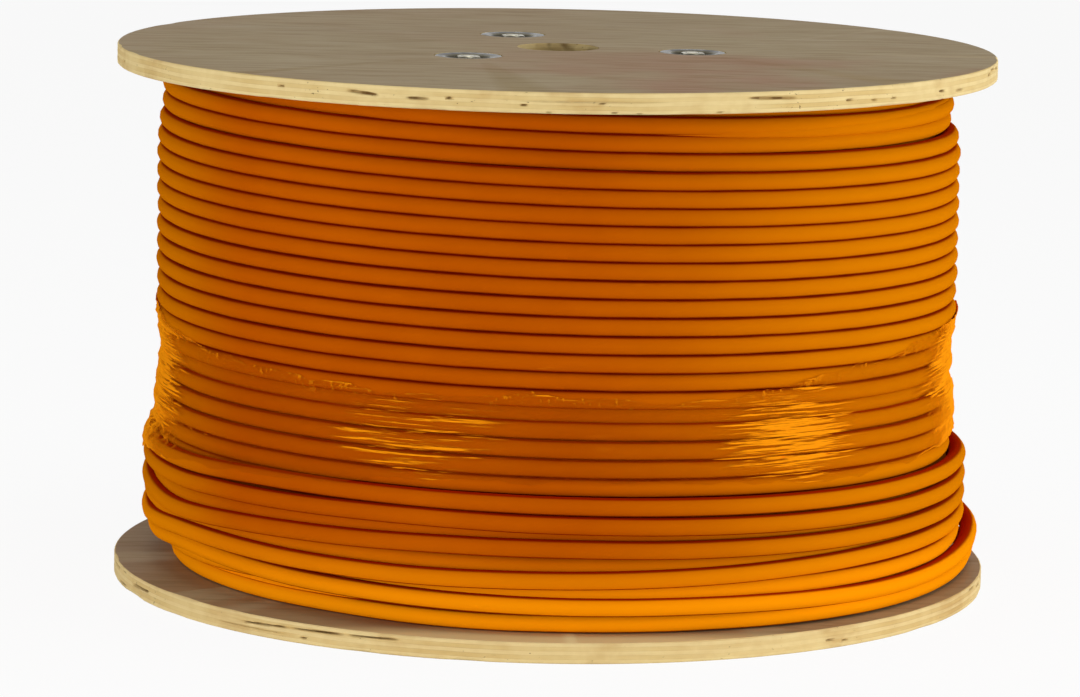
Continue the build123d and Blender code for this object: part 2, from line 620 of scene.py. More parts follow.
@dataclass(frozen=True)
class FaceVeneer:
    """The smooth grey-brown veneer on both faces of a flange, with painted light on the bottom flange near
    its front edge.
    """

    name: str = "face_veneer"
    ground: Colour = shade(154, 133, 98)
    dark_grain: Colour = shade(122, 98, 62)
    warm_patch: Colour = shade(146, 98, 68)
    pale_patch: Colour = shade(168, 152, 116)
    pore: Colour = shade(84, 60, 34)
    # Painted light: the bottom flange's face near its front edge, made paler where the cable's shade falls
    painted_front_light: Colour = shade(224, 204, 148)

    def material(self, effects: ShaderEffects) -> bpy.types.Material:
        """Build the material.

        Args:
            effects: The shared effects.

        Returns:
            The material.
        """
        tree = MaterialTree(self.name, Specular_IOR_Level=0.08)
        _, x, y, z = tree.object_place()
        fine = tree.effect(effects.streaks, Stretch=(1.0, 9.0, 9.0), Scale=22.0, Contrast=1.9)
        broad = tree.effect(effects.streaks, Stretch=(1.0, 3.0, 3.0), Scale=7.0, Contrast=2.2)
        pale = tree.effect(effects.mottle, Scale=9.0, Contrast=2.8, Shift=1.7)
        pores = tree.effect(effects.specks, Stretch=(0.12, 1.0, 1.0), Scale=420.0, Share=0.18, Patches=16.0)
        warm = tree.ramp(tree.effect(effects.mottle, Scale=8.0, Contrast=3.0, Shift=0.56), 0.34, 0.95)
        stained_side = tree.ramp(tree.math("SUBTRACT", x, y), -0.05, 0.16, 0.25, 1.0)
        # Painted light: masks for the front edge and for the bottom flange
        at_front = tree.ramp(y, -0.168, -0.19, 0.0, 0.92)
        at_foot = tree.ramp(z, 0.05, 0.02)
        colour = tree.tint(self.ground, self.dark_grain, broad, share=0.25)
        colour = tree.tint(colour, self.pale_patch, pale, share=0.45)
        colour = tree.tint(colour, self.warm_patch, tree.math("MULTIPLY", warm, stained_side), share=0.62)
        colour = tree.tint(colour, self.dark_grain, tree.ramp(fine, 0.6, 0.15), share=0.45)
        colour = tree.tint(colour, self.pore, pores, share=0.55)
        colour = tree.tint(colour, self.painted_front_light, tree.math("MULTIPLY", at_front, at_foot))
        tree.paint(Base_Color=colour, Roughness=tree.ramp(fine, 0.0, 1.0, 0.66, 0.5))
        tree.bump(fine, 0.00012, 0.6)
        return tree.material


@dataclass(frozen=True)
class PlyEdge:
    """The sawn edge of the plywood, where its plies show as bands."""

    name: str = "ply_edge"
    thickness: float = 0.009
    ply_count: int = 5
    long_ply: Colour = shade(226, 205, 148)
    cross_ply: Colour = shade(208, 180, 116)
    glue: Colour = shade(160, 116, 56)
    stain: Colour = shade(176, 134, 70)
    dirt: Colour = shade(96, 70, 34)
    # Hollow colour: torn wood in the flaws, laid more strongly as painted shade where a flaw is deep and on
    # the bore's right side
    hollow: Colour = shade(104, 72, 30)

    def material(self, effects: ShaderEffects) -> bpy.types.Material:
        """Build the material.

        Args:
            effects: The shared effects.

        Returns:
            The material.
        """
        tree = MaterialTree(self.name, Specular_IOR_Level=0.15)
        where, _, _, z = tree.object_place()
        glue_patch = tree.effect(effects.mottle, Scale=16.0, Contrast=3.4, Shift=0.7)
        grain = tree.effect(effects.streaks, Stretch=(1.0, 1.0, 14.0), Scale=40.0, Contrast=1.8)
        stain = tree.effect(effects.mottle, Scale=30.0, Contrast=3.2, Shift=2.1)
        blotch = tree.effect(effects.mottle, Scale=150.0, Contrast=3.0, Shift=3.3)
        pores = tree.effect(effects.specks, Stretch=(1.0, 1.0, 1.6), Scale=520.0, Share=0.24, Patches=60.0)
        wander = tree.math("MULTIPLY", tree.math("SUBTRACT", tree.noise(where, 14.0, 3.0), 0.5), 0.0022)
        ply_place = tree.math("DIVIDE", tree.math("ADD", z, wander), self.thickness / self.ply_count)
        from_middle = tree.math("ABSOLUTE", tree.math("SUBTRACT", tree.math("FRACT", ply_place), 0.5))
        crossed = tree.math("PINGPONG", tree.math("FLOOR", ply_place), 1.0)
        softened = tree.math("MULTIPLY", crossed, tree.ramp(glue_patch, 0.2, 0.9, 0.25, 0.8))
        rubbed = tree.math("ADD", tree.math("MULTIPLY", grain, 0.2), tree.math("MULTIPLY", blotch, 0.13))
        stained = tree.math("MULTIPLY", tree.ramp(stain, 0.55, 1.0), grain)
        glued = tree.math("MULTIPLY", tree.ramp(from_middle, 0.42, 0.5), glue_patch)
        # The flaw mark holds the torn wood and painted shade together
        flaw_and_shade = tree.ramp(tree.attribute("flaw"), 0.05, 0.8)
        torn = tree.math("MULTIPLY", flaw_and_shade, tree.ramp(blotch, 0.1, 0.7, 0.95, 0.5))
        colour = tree.tint(self.long_ply, self.cross_ply, softened)
        colour = tree.tint(colour, self.stain, rubbed)
        colour = tree.tint(colour, self.stain, stained, share=0.6)
        colour = tree.tint(colour, self.glue, glued, share=0.6)
        colour = tree.tint(colour, self.dirt, pores, share=0.7)
        colour = tree.tint(colour, self.hollow, torn)
        tree.paint(Base_Color=colour, Roughness=tree.ramp(grain, 0.0, 1.0, 0.85, 0.7))
        tree.bump(tree.math("SUBTRACT", grain, pores), 0.0002, 0.7)
        return tree.material


@dataclass(frozen=True)
class CableSheath:
    """The smooth orange sheath of the cable, with painted light on its sides and lowest rows, and painted
    shade in the grooves between rows.
    """

    name: str = "cable_sheath"
    orange: Colour = shade(186, 87, 2)
    deep_orange: Colour = shade(172, 75, 1)
    scuff: Colour = shade(210, 112, 10)
    # Painted light: the colour of the drum's right side and left edge, lighter where the lamps fall
    painted_side_light: Colour = shade(212, 127, 2)
    # Painted light: the lowest rows, lighter as if lit by light off the floor
    sunlit: Colour = shade(252, 152, 4)
    # Painted shade: darker red in the grooves between rows, and deeper red at their core
    groove: Colour = shade(138, 16, 0)
    painted_groove_core_shade: Colour = shade(156, 15, 0)

    def material(self, effects: ShaderEffects) -> bpy.types.Material:
        """Build the material.

        Args:
            effects: The shared effects.

        Returns:
            The material.
        """
        tree = MaterialTree(
            self.name, Specular_IOR_Level=0.0,
            Sheen_Weight=0.1, Sheen_Roughness=0.4, Sheen_Tint=shade(255, 130, 0),
        )
        where, x, _, z = tree.object_place()
        patch = tree.effect(effects.mottle, Scale=14.0, Contrast=2.0, Shift=0.4)
        rub = tree.effect(effects.specks, Stretch=(0.2, 0.2, 1.0), Scale=260.0, Share=0.12, Patches=18.0)
        fine = tree.effect(effects.mottle, Scale=700.0, Contrast=1.5, Shift=0.9)
        # Painted light: masks for the drum's right side and left edge
        right = tree.ramp(x, 0.0, 0.18, 0.0, 0.8)
        left = tree.ramp(x, -0.13, -0.185, 0.0, 0.7)
        # Painted light: mask for the lowest rows
        near_floor = tree.ramp(z, 0.05, 0.012, 0.0, 0.92)
        # Painted shade: the grooves are found where the surface turns away from the drum's axis, and
        # darkened there
        radial = tree.vector_math("NORMALIZE", tree.vector_math("MULTIPLY", where, (1.0, 1.0, 0.0)))
        normal = tree.node("ShaderNodeTexCoord").outputs["Normal"]
        outward = tree.vector_math("DOT_PRODUCT", normal, radial)
        colour = tree.tint(self.deep_orange, self.orange, patch)
        colour = tree.tint(colour, self.scuff, rub, share=0.25)
        colour = tree.tint(colour, self.painted_side_light, tree.math("MAXIMUM", right, left))
        colour = tree.tint(colour, self.sunlit, near_floor)
        colour = tree.tint(colour, self.groove, tree.ramp(outward, 0.7, 0.38, 0.0, 0.94))
        colour = tree.tint(colour, self.painted_groove_core_shade, tree.ramp(outward, 0.42, 0.12))
        tree.paint(Base_Color=colour, Roughness=tree.ramp(patch, 0.0, 1.0, 0.5, 0.62))
        tree.bump(tree.math("ADD", tree.math("MULTIPLY", fine, 0.3), patch), 0.0001, 0.4)
        return tree.material


@dataclass(frozen=True)
class ClearFilm:
    """Clear stretch film, in many thin layers, whose shine is painted: painted highlights on its creases, in
    patches, along its upper edge and at its grazing edges.
    """

    name: str = "clear_film"
    clear: Colour = shade(186, 84, 2)
    # Painted highlight: the glare colour that the film turns to where its painted highlights show
    bunched: Colour = shade(255, 156, 16)
    clear_share: float = 0.08
    creased_share: float = 0.9

    def material(self, effects: ShaderEffects) -> bpy.types.Material:
        """Build the material.

        Args:
            effects: The shared effects.

        Returns:
            The material.
        """
        tree = MaterialTree(self.name, Specular_IOR_Level=0.0)
        # The crease streaks set where painted highlights show, and also bump the film as real creases
        crease = tree.effect(effects.streaks, Stretch=(1.0, 1.0, 34.0), Scale=28.0, Contrast=2.6)
        crinkle = tree.effect(effects.specks, Stretch=(1.0, 1.0, 0.6), Scale=520.0, Share=0.5, Patches=40.0)
        patch = tree.effect(effects.mottle, Scale=16.0, Contrast=3.0, Shift=1.1)
        edging = tree.attribute("edging")
        # Patches of painted glare and the upper edge widen the painted highlights
        loose = tree.math("MAXIMUM", tree.attribute("bunched"), tree.math("MULTIPLY", patch, 0.18))
        loose = tree.math("MAXIMUM", loose, tree.math("MULTIPLY", edging, 0.45))
        start = tree.math("SUBTRACT", 0.9, tree.math("MULTIPLY", loose, 0.72))
        cover = tree.ramp(crease, start, tree.math("ADD", start, 0.3))
        shown = tree.math("MULTIPLY", cover, tree.ramp(loose, 0.0, 0.5, 0.35, 1.0))
        # Painted glints: crinkle specks along the upper edge
        ticks = tree.math("MULTIPLY", crinkle, tree.math("MULTIPLY", edging, 0.75))
        shown = tree.math("MAXIMUM", shown, ticks)
        # Painted highlight at grazing edges: the film turns glare-coloured and opaque there
        grazing = tree.node("ShaderNodeLayerWeight", {"Blend": 0.5}).outputs["Facing"]
        rim = tree.ramp(grazing, 0.6, 0.92)
        share = tree.math("MAXIMUM", tree.math("MULTIPLY", shown, self.creased_share), rim)
        glare = tree.math("MAXIMUM", shown, tree.math("MULTIPLY", rim, 0.85))
        tree.paint(
            Base_Color=tree.tint(self.clear, self.bunched, glare),
            Alpha=tree.math("MAXIMUM", share, self.clear_share),
            Roughness=tree.ramp(patch, 0.0, 1.0, 0.2, 0.34),
        )
        tree.bump(crease, 0.0006, 0.6)
        return tree.material


@dataclass(frozen=True)
class ZincSteel:
    """Bright zinc plating on the washers, nuts and rods, turned to painted shade or kept as painted
    highlight by each point's shine value.
    """

    name: str = "zinc_steel"
    bright: Colour = shade(190, 185, 164)
    dull: Colour = shade(128, 121, 100)
    # Painted shade: the plating turns to this where a point's shine value is low
    shaded: Colour = shade(38, 34, 26)

    def material(self, effects: ShaderEffects) -> bpy.types.Material:
        """Build the material.

        Args:
            effects: The shared effects.

        Returns:
            The material.
        """
        tree = MaterialTree(self.name, Metallic=1.0)
        bloom = tree.effect(effects.mottle, Scale=180.0, Contrast=2.6, Shift=0.2)
        scratch = tree.effect(effects.streaks, Stretch=(1.0, 12.0, 1.0), Scale=90.0, Contrast=2.0)
        plating = tree.tint(self.bright, self.dull, bloom)
        tree.paint(
            Base_Color=tree.tint(self.shaded, plating, tree.attribute("shine")),
            Roughness=tree.ramp(bloom, 0.0, 1.0, 0.22, 0.42),
        )
        tree.bump(scratch, 0.00005, 0.5)
        return tree.material


@dataclass(frozen=True)
class WoundPaper:
    """The brown paper tube of the barrel."""

    name: str = "wound_paper"
    paper: Colour = shade(176, 140, 98)
    fibre: Colour = shade(140, 106, 70)

    def material(self, effects: ShaderEffects) -> bpy.types.Material:
        """Build the material.

        Args:
            effects: The shared effects.

        Returns:
            The material.
        """
        tree = MaterialTree(self.name, Specular_IOR_Level=0.2)
        fibres = tree.effect(effects.specks, Stretch=(1.0, 1.0, 0.3), Scale=400.0, Share=0.5, Patches=30.0)
        patch = tree.effect(effects.mottle, Scale=12.0, Contrast=1.6, Shift=0.5)
        blend = tree.math("ADD", tree.math("MULTIPLY", fibres, 0.4), tree.math("MULTIPLY", patch, 0.5))
        tree.paint(
            Base_Color=tree.tint(self.paper, self.fibre, blend),
            Roughness=tree.ramp(patch, 0.0, 1.0, 0.8, 0.92),
        )
        tree.bump(fibres, 0.00015, 0.5)
        return tree.material


@dataclass(frozen=True)
class Finishes:
    """Every finish of the drum, built once."""

    veneer: bpy.types.Material
    ply_edge: bpy.types.Material
    sheath: bpy.types.Material
    film: bpy.types.Material
    zinc: bpy.types.Material
    paper: bpy.types.Material

    @classmethod
    def build(cls) -> Self:
        """Build the shared effects and every finish.

        Returns:
            The finishes.
        """
        effects = ShaderEffects()
        return cls(
            veneer=FaceVeneer().material(effects),
            ply_edge=PlyEdge().material(effects),
            sheath=CableSheath().material(effects),
            film=ClearFilm().material(effects),
            zinc=ZincSteel().material(effects),
            paper=WoundPaper().material(effects),
        )


@dataclass(frozen=True)
class EdgeFlaw:
    """A gap between plies, or a torn place, in the sawn edge of a flange.

    The angle is round the drum, and the height is a share of the flange's thickness above its lower
    face, which changes by the rise over the flaw's length. The other sizes are in millimetres.
    """

    angle: float
    height: float
    length: float
    width: float
    depth: float
    rise: float = 0.0

    def reaches(self, angle: float, radius: float) -> bool:
        """Say whether an angle on the edge of a flange with this radius is within the flaw's length."""
        return abs(math.radians(turn_between(self.angle, angle))) * radius < self.length * MM / 2

    def share_at(self, angle: float, height: float, radius: float, thickness: float) -> float:
        """Return how much of the flaw is at a place on the edge, from 0 to 1.

        Args:
            angle: The place's angle.
            height: The place's height, as a share of the thickness.
            radius: The flange's radius.
            thickness: The flange's thickness.

        Returns:
            The share of the flaw's whole depth.
        """
        turned = math.radians(turn_between(self.angle, angle))
        along = turned * radius / (self.length * MM / 2)
        middle = self.height + self.rise * along / 2
        across = (height - middle) * thickness / (self.width * MM / 2)
        if abs(along) >= 1.0 or abs(across) >= 1.0:
            return 0.0
        return (1.0 - along**4) * (1.0 - across**2)


@dataclass
class Flange:
    """A plywood disc with its bore, washer pockets and barrel groove, and a sawn edge.

    The glue lines are shares of its thickness, and the depths of tears and chips in its bore are shares
    of the bore's radius.
    """

    side: Side
    flaws: tuple[EdgeFlaw, ...]
    seed: int
    columns: int = 960
    rows: int = 20
    hole_points: int = 72
    bore_radius: float = 0.0185
    bore_steps: int = 8
    tear_scale: float = 260.0
    tear_depth: float = 0.012
    chip_scale: float = 90.0
    chip_depth: float = 0.02
    lip_radius: float = 0.0153
    lip_depth: float = 0.0012
    pocket_radius: float = 0.0111
    pocket_depth: float = 0.0065
    rod_hole_radius: float = 0.0033
    groove_outer_radius: float = 0.0803
    groove_inner_radius: float = 0.0747
    groove_depth: float = 0.003
    arris: float = 0.0005
    wear_scale: float = 45.0
    saw_scale: float = 420.0
    saw_roughness: float = 0.0003
    small_flaws: int = 40
    glue_lines: tuple[float, ...] = (0.2, 0.4, 0.6, 0.8)

    def _scatter_flaws(self) -> list[EdgeFlaw]:
        """Add smaller flaws round the back of the edge.

        Returns:
            The given flaws and the smaller ones.
        """
        dice = random.Random(self.seed)
        scattered = []
        for _ in range(self.small_flaws):
            height = dice.choice(self.glue_lines) + dice.uniform(-0.04, 0.04)
            angle = dice.uniform(70.0, 290.0)
            length = dice.uniform(2.0, 24.0)
            scattered.append(EdgeFlaw(angle, height, length, dice.uniform(0.9, 1.5), dice.uniform(0.4, 1.6)))
        return [*self.flaws, *scattered]

    def _edge_place(self, angle: float, height: float, radius: float, thickness: float,
                    flaws: list[EdgeFlaw]) -> tuple[float, float]:
        """Return how deep the edge lies at a place, and how strongly it is marked as a flaw with painted
        shade.

        Args:
            angle: The place's angle.
            height: The place's height, as a share of the thickness.
            radius: The flange's radius.
            thickness: The flange's thickness.
            flaws: The flaws that reach this angle.

        Returns:
            The depth in metres inside the radius, and the flaw's mark, which is larger where the flaw is
            deeper, as painted shade.
        """
        turned = math.radians(angle)
        ring = Vector(place_round(1.0, turned)) * radius
        near_top = height > 0.5
        wear_spot = ring * self.wear_scale + Vector((0.0, 0.0, self.seed + (7.0 if near_top else 0.0)))
        worn = max(0.0, noise.noise(wear_spot) - 0.2)
        rounding = self.arris * (1.0 + 4.0 * worn)
        away = min(height, 1.0 - height) * thickness
        depth = rounding * max(0.0, 1.0 - away / rounding) ** 2
        rough = noise.noise(ring * self.saw_scale + Vector((0.0, 0.0, height * 5.0 + self.seed)))
        depth += self.saw_roughness * (0.5 + 0.5 * rough)
        marked = 0.0
        for flaw in flaws:
            share = flaw.share_at(angle, height, radius, thickness)
            depth += share * flaw.depth * MM
            # A deeper flaw gets a stronger mark: painted shade in the gap
            marked = max(marked, share * min(1.0, 0.25 + flaw.depth / 2.0))
        return depth, marked

    def _rim(self, work: bmesh.types.BMesh, low: Vector, high: Vector) -> list[Ring]:
        """Build the sawn edge between the two faces.

        Args:
            work: The flange's mesh.
            low: The lowest corner of the flange's box.
            high: The highest corner.

        Returns:
            The edge's rings, from the lowest to the highest.
        """
        marks = work.verts.layers.float.new("flaw")
        radius = (high.x - low.x) / 2
        thickness = high.z - low.z
        flaws = self._scatter_flaws()
        rings = [[] for _ in range(self.rows + 1)]
        for column in range(self.columns):
            angle = 360.0 * column / self.columns
            near = [flaw for flaw in flaws if flaw.reaches(angle, radius)]
            turned = math.radians(angle)
            for row, ring in enumerate(rings):
                share = row / self.rows
                depth, marked = self._edge_place(angle, share, radius, thickness, near)
                vert = work.verts.new(place_round(radius - depth, turned, low.z + share * thickness))
                vert[marks] = marked
                ring.append(vert)
        bands(work, rings, Surface.SAWN)
        return rings

    def _bore(self, work: bmesh.types.BMesh, outer: float, inner: float) -> tuple[Ring, Ring]:
        """Build the bore's torn wall.

        Args:
            work: The flange's mesh.
            outer: The height of the outer face.
            inner: The height of the inner face.

        Returns:
            The bore's ring in the outer face, and the one in the inner face.
        """
        marks = work.verts.layers.float["flaw"]
        rings = []
        for step in range(self.bore_steps + 1):
            height = outer + (inner - outer) * step / self.bore_steps
            ring = point_ring(work, 2 * self.hole_points, self.bore_radius, height)
            for vert in ring:
                rough = noise.noise(vert.co * self.tear_scale + Vector((0.0, 0.0, self.seed)))
                chipped = max(0.0, noise.noise(vert.co * self.chip_scale)) * (2.2 if step == 0 else 0.6)
                # Torn places are marked dark, and the bore's right side (+X) darker as painted shadow
                vert[marks] = min(0.7, max(0.0, 0.1 + 0.9 * rough + 12.0 * vert.co.x))
                grow = 1.0 + self.tear_depth * max(0.0, rough) + self.chip_depth * chipped
                vert.co.x *= grow
                vert.co.y *= grow
            rings.append(ring)
        bands(work, rings, Surface.SAWN)
        return rings[0], rings[-1]

    def _rod_seats(self, work: bmesh.types.BMesh, outer: float,
                   inner: float) -> tuple[list[Ring], list[Ring]]:
        """Build the stepped pockets of the washers and the holes of the rods.

        Args:
            work: The flange's mesh.
            outer: The height of the outer face.
            inner: The height of the inner face.

        Returns:
            The rings in the outer face, and those in the inner face.
        """
        outwards = self.side.value
        outer_rings = []
        inner_rings = []
        for number in ROD_NUMBERS:
            centre = rod_centre(number)
            steps = (
                (self.lip_radius, outer),
                (self.lip_radius, outer - outwards * self.lip_depth),
                (self.pocket_radius, outer - outwards * self.lip_depth),
                (self.pocket_radius, outer - outwards * self.pocket_depth),
                (self.rod_hole_radius, outer - outwards * self.pocket_depth),
                (self.rod_hole_radius, inner),
            )
            rings = [point_ring(work, self.hole_points, radius, height, centre) for radius, height in steps]
            bands(work, rings, Surface.SAWN)
            outer_rings.append(rings[0])
            inner_rings.append(rings[-1])
        return outer_rings, inner_rings

    def _groove(self, work: bmesh.types.BMesh, inner: float) -> tuple[Ring, Ring]:
        """Build the barrel's groove.

        Args:
            work: The flange's mesh.
            inner: The height of the inner face.

        Returns:
            The groove's outer and inner rings in that face.
        """
        floor = inner + self.side.value * self.groove_depth
        steps = (
            (self.groove_outer_radius, inner),
            (self.groove_outer_radius, floor),
            (self.groove_inner_radius, floor),
            (self.groove_inner_radius, inner),
        )
        rings = [point_ring(work, 2 * self.hole_points, radius, height) for radius, height in steps]
        bands(work, rings, Surface.SAWN)
        return rings[0], rings[-1]

    @staticmethod
    def _face(work: bmesh.types.BMesh, rings: Sequence[Ring]) -> None:
        """Fill a flat face between an outer ring and the rings of its holes.

        Args:
            work: The flange's mesh.
            rings: The outer ring, then those of the holes.
        """
        edges = []
        for ring in rings:
            for i, vert in enumerate(ring):
                edges.append(work.edges.get((vert, ring[(i + 1) % len(ring)])))
        filled = bmesh.ops.triangle_fill(work, use_beauty=True, use_dissolve=False, edges=edges)
        for part in filled["geom"]:
            if isinstance(part, bmesh.types.BMFace):
                part.smooth = False

    def build(self, finishes: Finishes) -> None:
        """Build the flange and put it in the place of its plain solid.

        Args:
            finishes: The drum's finishes.
        """
        node = f"flange_{self.side.word}"
        low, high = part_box(node)
        outer, inner = (high.z, low.z) if self.side is Side.TOP else (low.z, high.z)
        work = bmesh.new()
        rim = self._rim(work, low, high)
        outer_rim, inner_rim = (rim[-1], rim[0]) if self.side is Side.TOP else (rim[0], rim[-1])
        outer_bore, inner_bore = self._bore(work, outer, inner)
        outer_holes, inner_holes = self._rod_seats(work, outer, inner)
        beyond_groove, within_groove = self._groove(work, inner)
        self._face(work, [outer_rim, outer_bore, *outer_holes])
        self._face(work, [inner_rim, beyond_groove])
        self._face(work, [within_groove, inner_bore, *inner_holes])
        mesh = finish_mesh(work, f"plywood_{self.side.word}")
        coats = {Surface.VENEER: finishes.veneer, Surface.SAWN: finishes.ply_edge}
        for surface in Surface:
            mesh.materials.append(coats[surface])
        place_piece(f"plywood_{self.side.word}", mesh, "plywood", node)


# The flaws that show at the front and the sides of each flange's edge
TOP_FLAWS = (
    EdgeFlaw(-24.2, 0.61, 16.0, 1.6, 1.6, -0.13),
    EdgeFlaw(-17.0, 0.5, 11.0, 1.3, 1.4),
    EdgeFlaw(-13.1, 0.58, 2.8, 1.4, 2.5),
    EdgeFlaw(4.0, 0.57, 76.0, 0.8, 0.5),
    EdgeFlaw(-4.0, 0.38, 3.0, 1.2, 1.2),
    EdgeFlaw(5.4, 0.5, 3.0, 1.1, 1.2),
    EdgeFlaw(-35.8, 0.61, 3.5, 1.1, 1.4),
    EdgeFlaw(-1.0, 0.06, 3.0, 1.0, 1.0),
    EdgeFlaw(7.0, 0.08, 3.5, 1.0, 1.0),
    EdgeFlaw(10.0, 0.05, 2.5, 1.0, 1.0),
    EdgeFlaw(20.0, 0.08, 4.0, 1.0, 1.0),
    EdgeFlaw(27.0, 0.69, 26.0, 1.5, 1.2, -0.08),
    EdgeFlaw(38.5, 0.42, 4.0, 1.2, 1.4),
    EdgeFlaw(42.7, 0.34, 3.0, 1.1, 1.2),
    EdgeFlaw(46.4, 0.35, 3.5, 1.1, 1.3),
    EdgeFlaw(56.8, 0.4, 5.0, 1.2, 1.4),
    EdgeFlaw(61.6, 0.31, 9.0, 1.6, 0.6),
)
BOTTOM_FLAWS = (
    EdgeFlaw(-65.7, 0.56, 23.0, 1.2, 2.6, 0.04),
    EdgeFlaw(-37.5, 0.63, 29.0, 0.9, 1.8, 0.12),
    EdgeFlaw(-29.4, 0.71, 29.0, 0.9, 1.8, 0.04),
    EdgeFlaw(-21.7, 0.75, 26.0, 0.9, 1.8, 0.04),
    EdgeFlaw(-39.8, 0.34, 45.0, 0.8, 0.6),
    EdgeFlaw(-31.4, 0.3, 4.0, 1.1, 1.2),
    EdgeFlaw(37.8, 0.43, 5.0, 1.2, 1.2),
    EdgeFlaw(40.3, 0.31, 4.0, 1.1, 1.0),
)


@dataclass(frozen=True)
class LooseTurn:
    """One turn of the last layer, as heights and rises round the drum.

    Each step of the path is an angle, the height of the cable's middle above the floor, and how far it
    stands out from the layer's usual radius, both in millimetres.
    """

    path: tuple[tuple[float, float, float], ...]

    def unrolled(self, points: int) -> bpy.types.Mesh:
        """Lay the turn out flat, with its angle as X, its rise as Y and its height as Z.

        Args:
            points: How many points it has.

        Returns:
            A closed line of edges, in radians and metres.
        """
        places = []
        for i in range(points):
            angle = 360.0 * i / points - 180.0
            height, rise = value_round(self.path, angle)
            places.append((math.radians(angle), rise * MM, height * MM))
        mesh = bpy.data.meshes.new("unrolled_turn")
        mesh.from_pydata(places, [(i, (i + 1) % points) for i in range(points)], [])
        return mesh


# The turns of the last layer, from the highest to the one at the foot and the one behind it
LOOSE_TURNS = (
    LooseTurn((
        (-170, 62.5, -1.0), (-90, 63.0, -1.8), (-61, 64.2, -1.6), (-41, 66.4, -1.5), (0, 65.2, -1.2),
        (40, 62.6, -0.8), (60, 61.8, -1.2), (76, 61.5, -0.6), (90, 61.5, 0.2), (115, 61.8, -0.6),
    )),
    LooseTurn((
        (-170, 54.0, 0.0), (-90, 55.5, -1.2), (-62, 55.8, -0.9), (-51, 57.0, -0.6), (-20, 58.2, 0.0),
        (0, 57.1, 0.0), (20, 55.6, 0.2), (46, 53.9, 0.5), (67, 53.2, 0.5), (90, 53.2, 0.0),
    )),
    LooseTurn((
        (-170, 49.0, -5.5), (-85, 51.0, -5.0), (-65, 48.7, -4.2), (-47, 50.3, -4.2), (-20, 52.6, -4.4),
        (10, 52.0, -5.5), (90, 48.0, -6.0),
    )),
    LooseTurn((
        (-170, 45.5, 0.0), (-90, 46.5, -0.7), (-80, 45.0, -0.6), (-65, 42.2, -0.4), (-47, 44.6, 0.0),
        (-20, 46.7, 0.2), (0, 46.8, 0.2), (20, 45.6, 0.3), (46, 44.4, 0.3), (67, 44.2, 0.2), (90, 44.8, 0.0),
    )),
    LooseTurn((
        (-170, 37.5, -5.0), (-90, 39.0, -1.5), (-75, 37.6, -3.5), (-50, 39.0, -5.0), (-20, 39.3, -4.0),
        (0, 39.0, -4.2), (20, 38.6, -4.8), (40, 38.0, -6.0), (90, 38.0, -6.0),
    )),
    LooseTurn((
        (-170, 35.0, 0.0), (-90, 31.5, -0.5), (-80, 30.4, -0.6), (-60, 33.8, -0.3), (-36, 33.0, 0.0),
        (-20, 32.4, 0.2), (0, 33.0, 0.3), (20, 33.8, 0.3), (49, 35.2, 0.3), (60, 35.4, 0.2), (90, 36.0, 0.0),
    )),
    LooseTurn((
        (-170, 26.0, -4.0), (-90, 19.0, -10.5), (-63, 21.0, -10.5), (-35, 24.5, -8.5), (0, 27.4, -3.8),
        (30, 27.3, -1.8), (50, 27.2, -0.2), (64, 27.7, 0.1), (72, 28.4, -0.3), (90, 30.5, -2.5),
        (120, 28.0, -3.0),
    )),
    LooseTurn((
        (-170, 22.0, 0.0), (-120, 24.0, -1.5), (-90, 23.4, -2.8), (-80, 22.8, -4.0), (-63, 26.0, -4.6),
        (-36, 24.0, -3.0), (-16, 22.6, -1.0), (0, 21.8, 0.0), (20, 21.2, 0.5), (35, 20.2, 1.0),
        (50, 19.4, 1.8), (64, 20.0, 3.0), (72, 21.8, 4.5), (80, 24.5, 6.0), (90, 28.0, 6.0),
        (102, 30.0, 3.0), (120, 26.0, 1.0),
    )),
    LooseTurn((
        (-170, 13.2, -6.0), (-120, 13.0, -11.0), (-95, 13.0, -14.0), (-75, 13.0, -14.0),
        (-50, 13.0, -13.6), (-31, 13.0, -13.0), (-20, 13.0, -10.0), (-10, 13.1, -8.0), (0, 13.2, -7.2),
        (21, 13.3, -4.8), (31, 13.4, -2.4), (42, 13.6, -0.3), (68, 13.6, 0.8), (83, 14.2, 2.8),
        (93, 16.0, 6.0), (105, 15.0, 4.0), (125, 13.3, 0.0),
    )),
    LooseTurn((
        (-170, 18.0, -14.0), (0, 19.0, -15.0), (70, 20.0, -13.0), (90, 22.0, -7.0), (107, 22.0, -4.0),
        (126, 20.0, -6.0), (150, 18.5, -12.0),
    )),
)

# A turn that lies a little deeper in the wide gap under the film
GAP_TURN = LooseTurn((
    (-170, 105.5, -11.3), (-90, 105.3, -11.1), (-45, 105.0, -10.9), (0, 103.6, -10.7), (45, 100.6, -10.7),
    (90, 98.2, -11.0), (150, 97.4, -12.0),
))

# A turn that comes up between two of the highest rows at the right
HEAD_TURN = LooseTurn((
    (-170, 222.0, -16.0), (-60, 222.5, -17.0), (0, 223.5, -15.5), (16, 223.4, -12.8), (34, 222.7, -11.2),
    (66, 222.4, -10.4), (90, 222.2, -10.4), (130, 222.0, -12.5),
))


class BarrelTube:
    """The paper tube between the flanges, which keeps its mesh from the construction."""

    node = "barrel_tube"

    def build(self, finishes: Finishes) -> None:
        """Give the tube its finish.

        Args:
            finishes: The drum's finishes.
        """
        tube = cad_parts[self.node]
        tube.data.materials.clear()
        tube.data.materials.append(finishes.paper)
        LOG.info("%s: kept from the construction", self.node)


